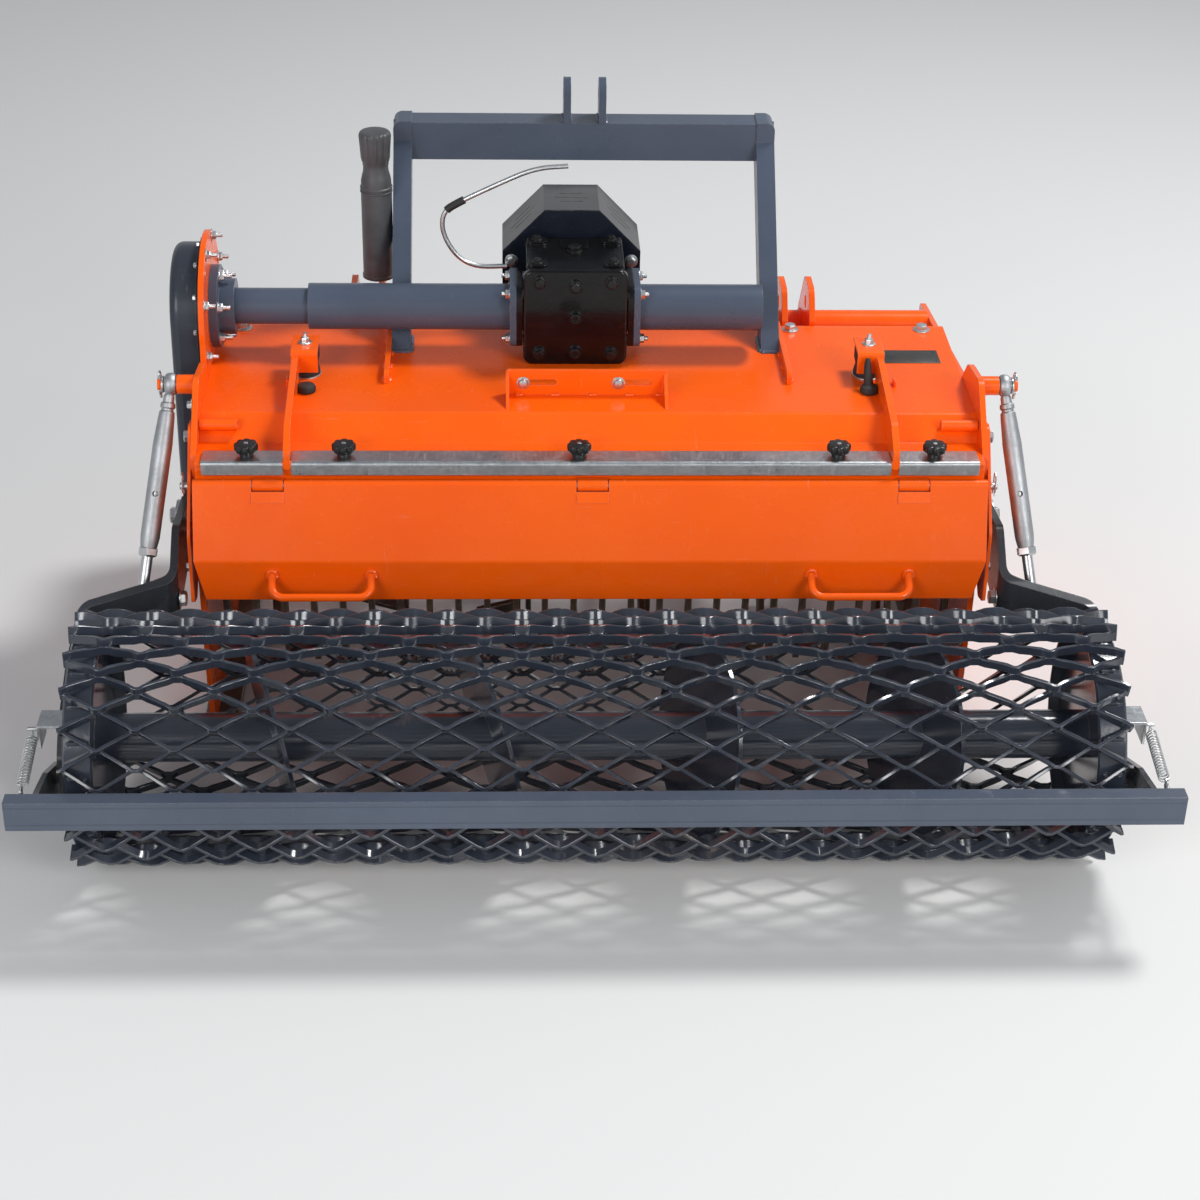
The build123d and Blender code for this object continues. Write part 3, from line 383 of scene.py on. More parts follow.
def earth_worn(name):
    """Dark forged steel that soil keeps bare at its corners."""
    material, g, shader = finish_of(name)
    edges = effect(g, worn_edges, Radius=0.004, Amount=1.0)
    scale = g.blend(g.patches(18, 6, 0.65, 0.35, 0.7), FORGED, RUSTED)
    soil = effect(g, field_dust, Amount=0.9, High=0.6)["Mask"]
    g.feed(shader["Base Color"], g.blend(edges["Mask"], g.blend(soil, scale, SOIL), WORN_STEEL))
    g.feed(shader["Metallic"], g.spread(edges["Mask"], 0.0, 0.6, 0.25, 1.0))
    g.feed(shader["Roughness"], g.spread(edges["Mask"], 0.0, 0.6, 0.72, 0.32))
    bump(g, shader, g.noise(130, 5, 0.7), 0.4, 0.0012, edges["Round"])
    return material


def moulded(name, colour, rough, grain=0.2):
    """Moulded plastic or rubber with a fine skin."""
    material, g, shader = finish_of(name)
    edges = effect(g, worn_edges, Radius=0.0012, Amount=0.12)
    soil = effect(g, field_dust, Amount=0.12)["Mask"]
    tone = g.blend(g.patches(20, 5, 0.6, 0.35, 0.75), colour, shade(colour, 1.9, 0.003))
    g.feed(shader["Base Color"], g.blend(soil, g.blend(edges["Mask"], tone, RUBBED_MOULDING), SOIL))
    g.feed(shader["Roughness"], g.patches(40, 4, 0.6, 0.3, 0.7, rough - 0.07, rough + 0.09))
    bump(g, shader, g.noise(700, 2, 0.5), grain, 0.0005, edges["Round"])
    return material


def mesh_paint(name, colour, deep):
    """Roller paint, rubbed to rust and soil on the outer edges of some strands."""
    material, g, shader = finish_of(name)
    edges = effect(g, worn_edges, Radius=0.0014, Amount=0.30)
    body = g.blend(g.patches(5, 5, 0.6, 0.35, 0.7), colour, deep)
    patches = g.patches(5.5, 6, 0.7, 0.62, 0.72)
    streaks = g.patches(42, 4, 0.65, 0.42, 0.62)
    rust = g.times(g.times(patches, streaks), 0.6)
    rusty = g.blend(g.noise(120, 4, 0.6), DARK_RUST, DRY_RUST)
    soil = effect(g, field_dust, Amount=0.10, High=0.5)["Mask"]
    worn = g.blend(edges["Mask"], g.blend(rust, body, rusty), RUBBED_MESH)
    g.feed(shader["Base Color"], g.blend(soil, worn, SOIL))
    g.feed(shader["Roughness"], g.plus(g.times(g.maths("MAXIMUM", soil, rust), 0.5), 0.15))
    clear_coat(shader, 0.45, 0.16)
    height = effect(g, spray_skin, Wave=110.0, Grit=700.0, Grit_Share=0.4)["Height"]
    bump(g, shader, height, 0.22, 0.0008, edges["Round"])
    return material


def rolled_bar(name, colour, deep):
    """Scraper bar paint over the faint rolling grooves near both of its long edges, chipped by stones."""
    groove_in, groove_half, groove_deep = 0.009, 0.0016, 3.0
    low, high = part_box("scraper_bar")
    material, g, shader = finish_of(name)
    edges = effect(g, worn_edges, Radius=0.0018, Amount=0.35)
    height = g.along(g.place(), "Z")
    lines = [g.spread(g.maths("ABSOLUTE", g.maths("SUBTRACT", height, level)), 0.0, groove_half, 1.0, 0.0)
             for level in (low.z + groove_in, high.z - groove_in)]
    grooves = g.maths("MAXIMUM", *lines)
    body = g.blend(g.patches(6, 6, 0.6, 0.35, 0.7), colour, deep)
    shaded = g.blend(g.times(grooves, 0.30), body, GROOVE_SHADE)
    rubs = effect(g, scuffs, Scale=20.0, Low=0.64, High=0.80)["Mask"]
    scraped = g.blend(g.times(rubs, 0.12), shaded, RUBBED_BAR)
    soil = effect(g, field_dust, Amount=0.12, High=0.5)["Mask"]
    g.feed(shader["Base Color"], g.blend(soil, g.blend(edges["Mask"], scraped, BARE_STEEL), SOIL))
    g.feed(shader["Roughness"], g.plus(g.times(g.maths("MAXIMUM", soil, rubs), 0.3), 0.30))
    clear_coat(shader, 0.15, 0.15)
    depth = g.maths("SUBTRACT", effect(g, spray_skin)["Height"], g.times(grooves, groove_deep))
    bump(g, shader, depth, 0.3, 0.0008, edges["Round"])
    return material


def case_paint(name, colour, deep, seam_x):
    """Drive case paint, black where the gasket shows beside the side plate."""
    material = paint(name, colour, deep, rough=0.3)
    g = Graph(material.node_tree)
    base = material.node_tree.nodes["Principled BSDF"].inputs["Base Color"]
    gasket = g.spread(g.along(g.place(), "X"), seam_x - 0.0002, seam_x + 0.0002)
    g.feed(base, g.blend(gasket, base.links[0].from_socket, GASKET))
    return material


ORANGE = (0.95, 0.118, 0.002, 1)
ORANGE_DEEP = (0.90, 0.096, 0.001, 1)
BLUE_GREY = (0.070, 0.090, 0.130, 1)
BLUE_GREY_DEEP = (0.055, 0.071, 0.104, 1)
# The drive case's dark blue-grey is darkened further as painted shade, for a case that stands mostly in shadow.
SHADED_CASE_GREY = (0.034, 0.041, 0.056, 1)
SHADED_CASE_GREY_DEEP = (0.026, 0.032, 0.044, 1)
GASKET_T = 0.0046

finishes = {
    "orange_paint": paint("orange_paint", ORANGE, ORANGE_DEEP),
    "blue_grey_paint": paint("blue_grey_paint", BLUE_GREY, BLUE_GREY_DEEP, rough=0.3),
    "guard_grey": paint("guard_grey", (0.034, 0.038, 0.046, 1), (0.026, 0.029, 0.035, 1), rough=0.28, coat=0.3),
    "gearbox_black": casting("gearbox_black", (0.0030, 0.0030, 0.0034, 1), 0.16),
    "zinc": plated("bright_zinc", (0.70, 0.715, 0.72, 1), 0.32),
    "worn_steel": earth_worn("earth_worn_steel"),
    "black_plastic": moulded("black_plastic", (0.005, 0.005, 0.0055, 1), 0.28),
    "rubber": moulded("black_rubber", (0.013, 0.013, 0.013, 1), 0.62, grain=0.4),
}
STRIP_ZINC = plated("dipped_strip", (0.60, 0.625, 0.64, 1), 0.27, spangle=0.22, radius=0.0016, cells_per_metre=190.0)
TURNBUCKLE_ZINC = plated("turnbuckle_zinc", (0.52, 0.535, 0.55, 1), 0.50)
ROLLER_PAINT = mesh_paint("roller_paint", (0.030, 0.037, 0.054, 1), (0.020, 0.025, 0.037, 1))
BLACK_OXIDE = casting("black_bolt", (0.006, 0.006, 0.0065, 1), 0.26)
CANISTER_PLASTIC = moulded("canister_plastic", (0.050, 0.052, 0.056, 1), 0.42)
DARK_PLATE = plated("blank_plate", (0.10, 0.10, 0.10, 1), 0.38)
GUARD_SHELL = paint("guard_shell", (0.100, 0.100, 0.104, 1), (0.080, 0.080, 0.084, 1), rough=0.34)
# The guard's rear-facing end plate is painted near black-blue as painted shade.
SHADED_GUARD_BACK = paint("guard_back_shaded", (0.010, 0.013, 0.022, 1), (0.007, 0.009, 0.016, 1), rough=0.22, coat=0.3)
WELD = paint("painted_weld", ORANGE, ORANGE_DEEP, rough=0.34, dust=0.3, chips=0.3, radius=0.0008)
BAR_PAINT = rolled_bar("scraper_bar_paint", BLUE_GREY, BLUE_GREY_DEEP)
# Drive case paint in its blue-grey darkened with painted shade.
SHADED_CASE_PAINT = case_paint("drive_case_shaded_paint", SHADED_CASE_GREY, SHADED_CASE_GREY_DEEP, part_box("drive_case")[1].x - GASKET_T)

SHARP = radians(32)        # edges that turn by more than this stay crisp


class Blank:
    """A mesh that is built up from simple shop shapes and then made into one piece."""

    def __init__(self):
        self.bm = bmesh.new()

    def ring_skin(self, rings, loop=False):
        """Joins rings of points in order, capped at both ends or closed on itself."""
        rows = [[self.bm.verts.new(p) for p in ring] for ring in rings]
        n = len(rows[0])
        for i in range(len(rows) if loop else len(rows) - 1):
            a, b = rows[i], rows[(i + 1) % len(rows)]
            for k in range(n):
                self.bm.faces.new((a[k], a[(k + 1) % n], b[(k + 1) % n], b[k]))
        if not loop:
            self.bm.faces.new(list(reversed(rows[0])))
            self.bm.faces.new(rows[-1])

    def turned(self, at, axis, side, other, levels, sides, radius):
        """Rings up an axis, where radius(level, k) is a level's radius at place k of its ring."""
        self.ring_skin([[Vector(at) + axis * level[0] + (side * c + other * s) * radius(level, k)
                         for k, (c, s) in enumerate(circle(sides))] for level in levels])

    def lathe(self, at, axis, profile, sides=24, turn=0.0):
        """Turned shape: profile is (distance along the axis, radius) pairs, closed at both ends."""
        axis = Vector(axis).normalized()
        side = axis.orthogonal().normalized()
        side.rotate(Quaternion(axis, turn))
        self.turned(at, axis, side, axis.cross(side), profile, sides, lambda level, k: level[1])

    def tube(self, at, axis, profile, sides=28):
        """Turned ring: profile is a closed loop of (distance, radius)."""
        axis = Vector(axis).normalized()
        side = axis.orthogonal().normalized()
        other = axis.cross(side)
        self.ring_skin([[Vector(at) + axis * d + (side * c + other * s) * r for d, r in profile]
                        for c, s in circle(sides)], loop=True)

    def block(self, low, high, chamfer):
        made = bmesh.ops.create_cube(self.bm, size=1.0)["verts"]
        size = high - low
        for v in made:
            v.co = Vector((v.co.x * size.x, v.co.y * size.y, v.co.z * size.z)) + (low + high) / 2
        edges = list({e for v in made for e in v.link_edges})
        bmesh.ops.bevel(self.bm, geom=edges, offset=chamfer, segments=2, profile=0.5, affect="EDGES")

    def plate(self, outline, normal, thick):
        """A flat plate: outline points in 3D, pushed by thick along the normal."""
        self.ring_skin([outline, [p + normal.normalized() * thick for p in outline]])

    def rod(self, points, radius, sides=12, loop=False):
        """A round wire through points, without twist."""
        n = len(points)
        rings = []
        side = None
        for i, p in enumerate(points):
            ahead = points[(i + 1) % n] if loop or i < n - 1 else p
            behind = points[i - 1] if loop or i > 0 else p
            run = (ahead - behind).normalized()
            side = run.orthogonal() if side is None else side - run * side.dot(run)
            side.normalize()
            other = run.cross(side)
            r = radius[i] if isinstance(radius, list) else radius
            rings.append([p + (side * c + other * s) * r for c, s in circle(sides)])
        self.ring_skin(rings, loop=loop)

    def bolt(self, at, axis, across=0.013, height=0.0055, washer=0.0105, turn=0.3, thread=0.0):
        """A hex head or nut on a washer, with an end of thread past it if given."""
        at, axis = Vector(at), Vector(axis).normalized()
        r = across / sqrt(3)
        flat = 0.0016 if washer else 0.0
        if washer:
            self.lathe(at, axis, [(0, washer), (flat * 0.85, washer), (flat, washer * 0.93)], 20)
        self.lathe(at + axis * flat, axis,
                   [(0, r), (height * 0.78, r), (height, r * 0.86), (height * 1.02, r * 0.6)], 6, turn)
        if thread:
            self.thread(at + axis * (flat + height), axis, across * 0.29, thread)

    def thread(self, at, axis, radius, length, pitch=0.0016):
        count = max(2, int(length / pitch))
        profile = []
        for i in range(count):
            profile += [(i * length / count, radius * 0.90), ((i + 0.5) * length / count, radius)]
        self.lathe(at, axis, profile + [(length, radius * 0.82)], 14)

    def weld(self, points, radius=0.0028, step=0.0035, seed=1):
        """A laid bead with its ripples."""
        draw = random.Random(seed)
        path = []
        for a, b in zip(points, points[1:]):
            count = max(1, int((b - a).length / step))
            path += [a.lerp(b, i / count) for i in range(count)]
        path.append(points[-1])
        radii = [radius * (1.0 + 0.16 * (i % 2) + draw.uniform(-0.1, 0.1)) for i in range(len(path))]
        radii[0] = radii[-1] = radius * 0.45
        self.rod(path, radii, 8)

    def make(self, name, body, slot, finish=None):
        """Makes the piece, in its slot's own finish unless another is given."""
        bmesh.ops.recalc_face_normals(self.bm, faces=self.bm.faces)
        for face in self.bm.faces:
            face.smooth = True
        for edge in self.bm.edges:
            if len(edge.link_faces) != 2 or edge.calc_face_angle(0) > SHARP:
                edge.smooth = False
        data = bpy.data.meshes.new(name)
        self.bm.to_mesh(data)
        self.bm.free()
        data.materials.append(finish or finishes[slot])
        piece = bpy.data.objects.new(name, data)
        bpy.context.scene.collection.objects.link(piece)
        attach(piece, body)
        return piece


def both(sides_of):
    """Runs a maker for the right (+1) and the left (-1)."""
    for side, word in ((1, "right"), (-1, "left")):
        sides_of(side, word)


def carve(piece, cutter):
    """Takes the cutter's shape out of a piece."""
    finish = piece.data.materials[0]
    data = bpy.data.meshes.new("cutter")
    bmesh.ops.recalc_face_normals(cutter.bm, faces=cutter.bm.faces)
    cutter.bm.to_mesh(data)
    cutter.bm.free()
    tool = bpy.data.objects.new("cutter", data)
    bpy.context.scene.collection.objects.link(tool)
    cut = piece.modifiers.new("cut", "BOOLEAN")
    cut.operation, cut.object, cut.solver = "DIFFERENCE", tool, "EXACT"
    bpy.context.view_layer.update()
    seen = piece.evaluated_get(bpy.context.evaluated_depsgraph_get())
    carved = bpy.data.meshes.new_from_object(seen)
    piece.modifiers.clear()
    piece.data = carved
    piece.data.materials[0] = finish
    bpy.data.objects.remove(tool)


# Roller of expanded metal: zigzag strands that meet at bonds, each bond one strand inside the other
STRANDS = 40
PITCH_COUNT = 14
STRAND_WIDE = 0.0122
STRAND_THICK = 0.0052
STRAND_CHAMFER = 0.0007
LEAN = radians(15)
OUTER_BOND = 0.0030
INNER_BOND = 0.0060
MESH_MARGIN = 0.001        # the mesh stays this far within its solid
MESH_SWAY = 0.0006
RIM_WIDE = 0.042


def expanded_roller():
    low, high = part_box("roller_cage")
    centre = (low + high) / 2
    half = (high.x - low.x) / 2 - MESH_MARGIN
    bond_r = (high.z - low.z) / 2 - MESH_MARGIN - STRAND_WIDE * cos(LEAN)
    pitch = 2 * half / PITCH_COUNT
    step = 2 * pi / STRANDS
    w, t, c = STRAND_WIDE / 2 + 0.0004, STRAND_THICK / 2, STRAND_CHAMFER
    corners = ((w, t - c), (w - c, t), (-w + c, t), (-w, t - c),
               (-w, -t + c), (-w + c, -t), (w - c, -t), (w, -t + c))
    draw = random.Random(7)
    blank = Blank()
    for k in range(STRANDS):
        sway = draw.uniform(-MESH_SWAY, MESH_SWAY)
        line = []
        for i in range(2 * PITCH_COUNT + 1):
            up = (i + k) % 2
            x, flat = -half + i * pitch / 2, INNER_BOND if up else OUTER_BOND
            line += [(x + d, up) for d in (-flat, flat) if abs(x + d) <= half + 1e-6]
            if i in (0, 2 * PITCH_COUNT):
                line.append((x, up))
        line.sort()
        runs = [(a[0] + (b[0] - a[0]) * s, a[1] + (b[1] - a[1]) * s)
                for a, b in zip(line, line[1:]) if a[1] != b[1] for s in (0.2, 0.5, 0.8)]
        places = []
        for x, up in sorted(line + runs):
            lift = 0.5 * cos(pi * up)
            rise = up * step * bond_r + lift * STRAND_WIDE * sin(LEAN)
            radius = bond_r + lift * STRAND_WIDE * cos(LEAN) + sway
            places.append((x, pi - k * step - rise / bond_r, radius))
        rings = []
        for n, (x, angle, radius) in enumerate(places):
            out = Vector((0, cos(angle), sin(angle)))
            climb = Vector((0, sin(angle), -cos(angle)))
            wide = out * cos(LEAN) + climb * sin(LEAN)
            behind, ahead = places[max(n - 1, 0)], places[min(n + 1, len(places) - 1)]
            run = X * (ahead[0] - behind[0]) + climb * ((behind[1] - ahead[1]) * bond_r)
            run += out * (ahead[2] - behind[2])
            thin = wide.cross(run).normalized()
            wide = run.normalized().cross(thin).normalized()
            at = Vector((x, centre.y, centre.z)) + out * radius
            rings.append([at + wide * p + thin * q for p, q in corners])
        blank.ring_skin(rings)
    piece = blank.make("roller_mesh", "roller", "blue_grey_paint", ROLLER_PAINT)
    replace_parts(piece, "roller_cage")
    roller_rims(centre, half, bond_r - STRAND_WIDE * cos(LEAN) - 0.0005)


def roller_rims(centre, half, rim_out):
    """Flat bands within the cut ends of the mesh, tacked to every other strand."""
    rims = Blank()
    profile = [(0.0, rim_out - 0.003), (0.003, rim_out), (RIM_WIDE - 0.003, rim_out),
               (RIM_WIDE, rim_out - 0.003), (RIM_WIDE, rim_out - 0.006), (0.0, rim_out - 0.006)]
    for side in (-1, 1):
        x = side * (half - 0.003)
        rims.tube((x, centre.y, centre.z), X * -side, profile, 96)
        for n in range(STRANDS // 2):
            a = 2 * pi * (n + 0.3) / (STRANDS // 2)
            at = Vector((x - side * 0.02, centre.y, centre.z)) + Vector((0, cos(a), sin(a))) * (rim_out + 0.001)
            rims.weld([at - X * 0.014, at + X * 0.014], 0.003, seed=n)
    rims.make("roller_rims", "roller", "blue_grey_paint", ROLLER_PAINT)


def scraper_spring(side, word):
    """Close-wound tension spring, hooked to its bracket above and its eye bolt below."""
    top, foot = mm(815 * side, -45, 231), mm(815 * side, -164, 208.5)
    run = (foot - top).normalized()
    across = X * side
    other = run.cross(across)
    length = (foot - top).length
    lead, turns, per_turn, coil_r, wire = 0.014, 17, 14, 0.0076, 0.0012

    def hook(end, inward, angle):
        return end + run * (inward * lead * 0.5 - 0.005 * cos(angle)) + other * (0.0055 * sin(angle))

    points = [hook(top, 1, pi * (1.5 * i / 7 - 1.0)) for i in range(8)]
    for i in range(turns * per_turn + 1):
        angle = 2 * pi * i / per_turn
        d = lead + (length - 2 * lead) * i / (turns * per_turn)
        points.append(top + run * d + (across * cos(angle) + other * sin(angle)) * coil_r)
    points += [hook(foot, -1, pi * 1.5 * i / 7) for i in range(8)]
    blank = Blank()
    blank.rod(points, wire, 8)
    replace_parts(blank.make("scraper_spring_" + word, "arms", "zinc"), "scraper_springs")


def eye_bolt(side, word):
    """Eye bolt in the scraper bar, with its nut and washer, under the spring's lower hook."""
    at = Vector((side * 0.815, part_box("scraper_bar")[1].y, 0.208))
    blank = Blank()
    blank.bolt(at, Y, height=0.007, thread=0.016)
    blank.rod([at + Y * 0.0385 + Vector((0, c, s)) * 0.0062 for c, s in circle(20)], 0.0018, 8, loop=True)
    blank.make("spring_eye_bolt_" + word, "scraper", "zinc")


def star_knobs():
    """Knobs of eight lobes that clamp the strips, each with its steel insert on top."""
    low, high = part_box("star_knobs")
    reach, sides = (high.y - low.y) / 2, 64
    levels = ((0.006, 0.50), (0.007, 0.84), (0.009, 0.97), (0.012, 1.0),
              (0.017, 1.0), (0.0195, 0.94), (0.0205, 0.78), (0.0208, 0.45))

    def lobed(level, k):
        return reach * (0.80 + 0.195 * abs(cos(4 * 2 * pi * k / sides)) ** 0.7) * level[1]

    blank, inserts = Blank(), Blank()
    for x in (-0.523, -0.376, -0.020, 0.376, 0.523):
        at = Vector((x, (low.y + high.y) / 2, low.z))
        blank.turned(at, Z, X, Y, levels, sides, lobed)
        blank.lathe(at, Z, [(0, 0.0105), (0.003, 0.0100), (0.007, 0.0098)])
        inserts.bolt(at + Z * 0.0206, Z, across=0.0065, height=0.0005, washer=0)
    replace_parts(blank.make("star_knobs_moulded", "frame", "black_plastic"), "star_knobs")
    inserts.make("knob_inserts", "frame", "zinc")


def upright(low, high):
    """Foot, radius and height of what is upright and round in a box."""
    foot = Vector(((low.x + high.x) / 2, (low.y + high.y) / 2, low.z))
    return foot, (high.x - low.x) / 2, high.z - low.z


def canister_body():
    """Tube with a foot rim, two thin rims below its shoulder, and a neck up to the cap."""
    at, r, tall = upright(*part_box("canister"))
    body = Blank()
    body.lathe(at, Z, [(0, r - 0.002), (0.001, r), (0.006, r), (0.007, r - 0.0012),
                       (0.149, r - 0.0012), (0.150, r), (0.152, r), (0.153, r - 0.0022),
                       (0.1555, r - 0.0022), (0.1565, r), (0.1585, r), (0.160, r - 0.0016),
                       (0.169, r - 0.0018), (0.177, r - 0.0034), (0.185, r - 0.0056), (tall, r - 0.0062)], 64)
    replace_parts(body.make("canister_tube", "frame", "black_plastic", CANISTER_PLASTIC), "canister")


def canister_cap():
    """Ribbed screw cap that widens to its top: height, share of its reach, and depth of its ribs."""
    at, reach, tall = upright(*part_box("canister_cap"))
    levels = [(0.0, 0.76, 0), (0.004, 0.76, 0), (0.006, 0.78, 0.4), (0.012, 0.80, 1), (0.030, 0.84, 1),
              (tall - 0.007, 0.89, 1), (tall - 0.003, 0.87, 0.7), (tall - 0.001, 0.82, 0.2), (tall, 0.70, 0)]

    def ribbed(level, k):
        return reach * (level[1] + (0.05 * level[2] if k % 6 < 3 else 0.0))

    cap = Blank()
    cap.turned(at, Z, X, Y, levels, 96, ribbed)
    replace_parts(cap.make("canister_cap_ribbed", "frame", "black_plastic", CANISTER_PLASTIC), "canister_cap")


def turnbuckle(side, word):
    """Tapered barrel with a ball eye above, stepped collars, a tommy hole, and its lock nut on the rod."""
    top, foot = mm(646 * side, 405, 572), mm(693 * side, 250, 281)
    run = (foot - top).normalized()
    out = X * side
    body = "turnbuckle_" + word
    blank = Blank()
    blank.lathe(top, run, [(0.018, 0.0084), (0.028, 0.0088), (0.030, 0.0112), (0.036, 0.0118),
                           (0.038, 0.0094), (0.041, 0.0094), (0.043, 0.0118), (0.054, 0.0128),
                           (0.086, 0.0146), (0.090, 0.0150), (0.236, 0.0150), (0.244, 0.0142), (0.254, 0.0126)], 40)
    piece = blank.make("turnbuckle_barrel_" + word, body, "zinc", TURNBUCKLE_ZINC)
    hole = Blank()
    through = (-Y - run * run.dot(-Y)).normalized()
    hole.lathe(top + run * 0.170 - through * 0.03, through, [(0, 0.0046), (0.06, 0.0046)])
    carve(piece, hole)
    eye = Blank()
    eye.tube(top, X, [(-0.0080, 0.0098), (-0.0080, 0.0145), (-0.005, 0.0170), (0.0, 0.0179),
                      (0.005, 0.0170), (0.0080, 0.0145), (0.0080, 0.0098)], 40)
    eye.lathe(top, run, [(0.0155, 0.0070), (0.021, 0.0082)])
    ball = eye.make("turnbuckle_eye_" + word, body, "zinc", TURNBUCKLE_ZINC)
    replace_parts(piece, "turnbuckle_" + word)
    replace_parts(ball, "turnbuckle_" + word)
    pin = Blank()
    for s in (-1, 1):
        pin.lathe(top + X * s * 0.0082, X * s, [(0, 0.0120), (0.0006, 0.0124), (0.0012, 0.0120)], 28)
    pin.lathe(top + out * 0.0098, out, [(0, 0.0096), (0.0010, 0.0132), (0.0034, 0.0132), (0.0042, 0.0122)], 28)
    end = top + out * 0.0165
    pin.rod([end + Vector((0, cos(a) * 0.015, 0.003 + sin(a) * 0.018))
             for a in [radians(-145 + 19 * i) for i in range(16)]], 0.0013, 8)
    pin.rod([end - Z * 0.022, end + Z * 0.017], 0.0023, 10)
    pin.make("turnbuckle_pin_" + word, "frame", "zinc")
    nut = Blank()
    nut.bolt(top + run * 0.2545, run, across=0.027, height=0.013, washer=0)
    nut.make("lock_nut_" + word, body, "zinc")
    # The rod's eye slides out along its pin as the arms swing, so the cap sits past it
    low = Blank()
    low.lathe(foot + out * 0.0126, out, [(0, 0.0135), (0.0012, 0.0135), (0.0015, 0.0120)], 28)
    low.rod([foot + out * 0.0160 - Z * 0.016, foot + out * 0.0160 + Z * 0.016], 0.0018, 10)
    low.bolt(mm(634 * side, 250, 281), -out, across=0.021, height=0.009, washer=0.0150)
    low.make("turnbuckle_low_nut_" + word, "arms", "zinc")


def gearbox_hardware():
    """Bolts on the rear cover's bosses, on the top cover's pads and through the side flanges."""
    rear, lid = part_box("gearbox_rear_cover"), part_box("gearbox_top_cover")
    x = (rear[0].x + rear[1].x) / 2
    black = Blank()
    for dx, z in ((-57, 681), (0, 674), (57, 681), (-57, 559), (57, 559)):
        black.bolt((x + dx / 1000, rear[0].y, z / 1000), -Y, across=0.015, height=0.007, washer=0.0102, turn=dx)
    for z in (621, 561):
        at = Vector((x, rear[0].y, z / 1000))
        black.tube(at, -Y, [(0, 0.0038), (0, 0.0088), (0.0065, 0.0088), (0.0072, 0.0080), (0.0072, 0.0038)])
        black.lathe(at, -Y, [(0, 0.0038), (0.0035, 0.0038)], 6)
    for dx in (-60, 60):
        for y in (lid[0].y + 0.014, lid[1].y - 0.016):
            black.bolt((x + dx / 1000, y, lid[1].z), Z, across=0.012, height=0.005, washer=0.009, turn=y)
    black.bolt((x, lid[1].y - 0.052, lid[1].z - 0.0052), Z, across=0.020, height=0.008, washer=0.013)
    black.make("gearbox_bolts", "frame", "gearbox_black", BLACK_OXIDE)
    bolts = Blank()
    flange_t, flange_in = 0.020, 0.010
    for side, face in ((-1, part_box("drive_tube_left")[1].x - flange_in),
                       (1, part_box("drive_tube_right")[0].x + flange_in)):
        for y in (-38, 38):
            for z in (-38, 38):
                at = mm(0, DRIVE_AXIS[0] + y, DRIVE_AXIS[1] + z)
                at.x = face
                bolts.bolt(at, X * side, height=0.006, washer=0.0095, thread=0.006, turn=y + z)
                at.x = face - side * flange_t
                bolts.bolt(at, -X * side, height=0.005, washer=0, turn=z)
    bolts.make("flange_bolts", "frame", "zinc")


def guard_shell():
    """Guard over the input shaft: a folded shell with three rows of vents, and a plate behind it, painted near black
    as painted shade.
    """
    low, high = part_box("input_guard")
    x, half = (low.x + high.x) / 2, (high.x - low.x) / 2
    top, thick, shoulder, mitre = 0.045, 0.003, 0.672, 0.0012
    vent_half, vent_pitch, vent_y = 0.0016, 0.018, 0.414
    outer = [(-half, low.z), (-half, shoulder), (-top, high.z), (top, high.z), (half, shoulder), (half, low.z)]
    inner = [(-half + thick, low.z), (-half + thick, shoulder - mitre), (-top + mitre, high.z - thick),
             (top - mitre, high.z - thick), (half - thick, shoulder - mitre), (half - thick, low.z)]
    blank = Blank()
    rows = [[blank.bm.verts.new((x + p, y, z)) for p, z in outer + inner[::-1]]
            for y in (low.y + thick + 0.0002, high.y)]
    count = len(rows[0])
    for k in range(count):
        blank.bm.faces.new((rows[0][k], rows[0][(k + 1) % count], rows[1][(k + 1) % count], rows[1][k]))
    for row in rows:
        for k in range(5):
            blank.bm.faces.new((row[k], row[k + 1], row[count - 2 - k], row[count - 1 - k]))
    shell = blank.make("guard_shell", "frame", "guard_grey", GUARD_SHELL)
    slots = Blank()
    for a, b in zip(outer[1:4], outer[2:5]):
        a, b = Vector((x + a[0], 0, a[1])), Vector((x + b[0], 0, b[1]))
        face, run = (a + b) / 2, (b - a).normalized()
        out = Vector((-run.z, 0, run.x))
        for n, long in ((-1, 0.019), (0, 0.028), (1, 0.019)):
            mid = face + Y * (vent_y + vent_pitch * n) - out * 0.01
            slots.plate([mid + run * p + Y * q for p, q in ((-long, -vent_half), (long, -vent_half),
                                                            (long, vent_half), (-long, vent_half))], out, 0.02)
    carve(shell, slots)
    back, hole = Blank(), Blank()
    back.plate([Vector((x + p, low.y, z)) for p, z in outer], Y, thick)
    shaft_r, snout_r = 0.01746, 0.0425
    hole.lathe((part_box("pto_shaft")[0].x + shaft_r, low.y - 0.01, 0.615), Y, [(0, snout_r), (0.04, snout_r)], 64)
    # The end plate takes the near-black paint that stands in for its shade.
    plate = back.make("guard_back_shaded", "frame", "guard_grey", SHADED_GUARD_BACK)
    carve(plate, hole)
    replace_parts(shell, "input_guard")
    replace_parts(plate, "input_guard")
    bolts = Blank()
    for s in (-1, 1):
        for z in (0.606, 0.655):
            bolts.bolt((x + s * 0.098, low.y, z), -Y, height=0.006, washer=0.011, turn=z)
    bolts.make("guard_bolts", "frame", "zinc")


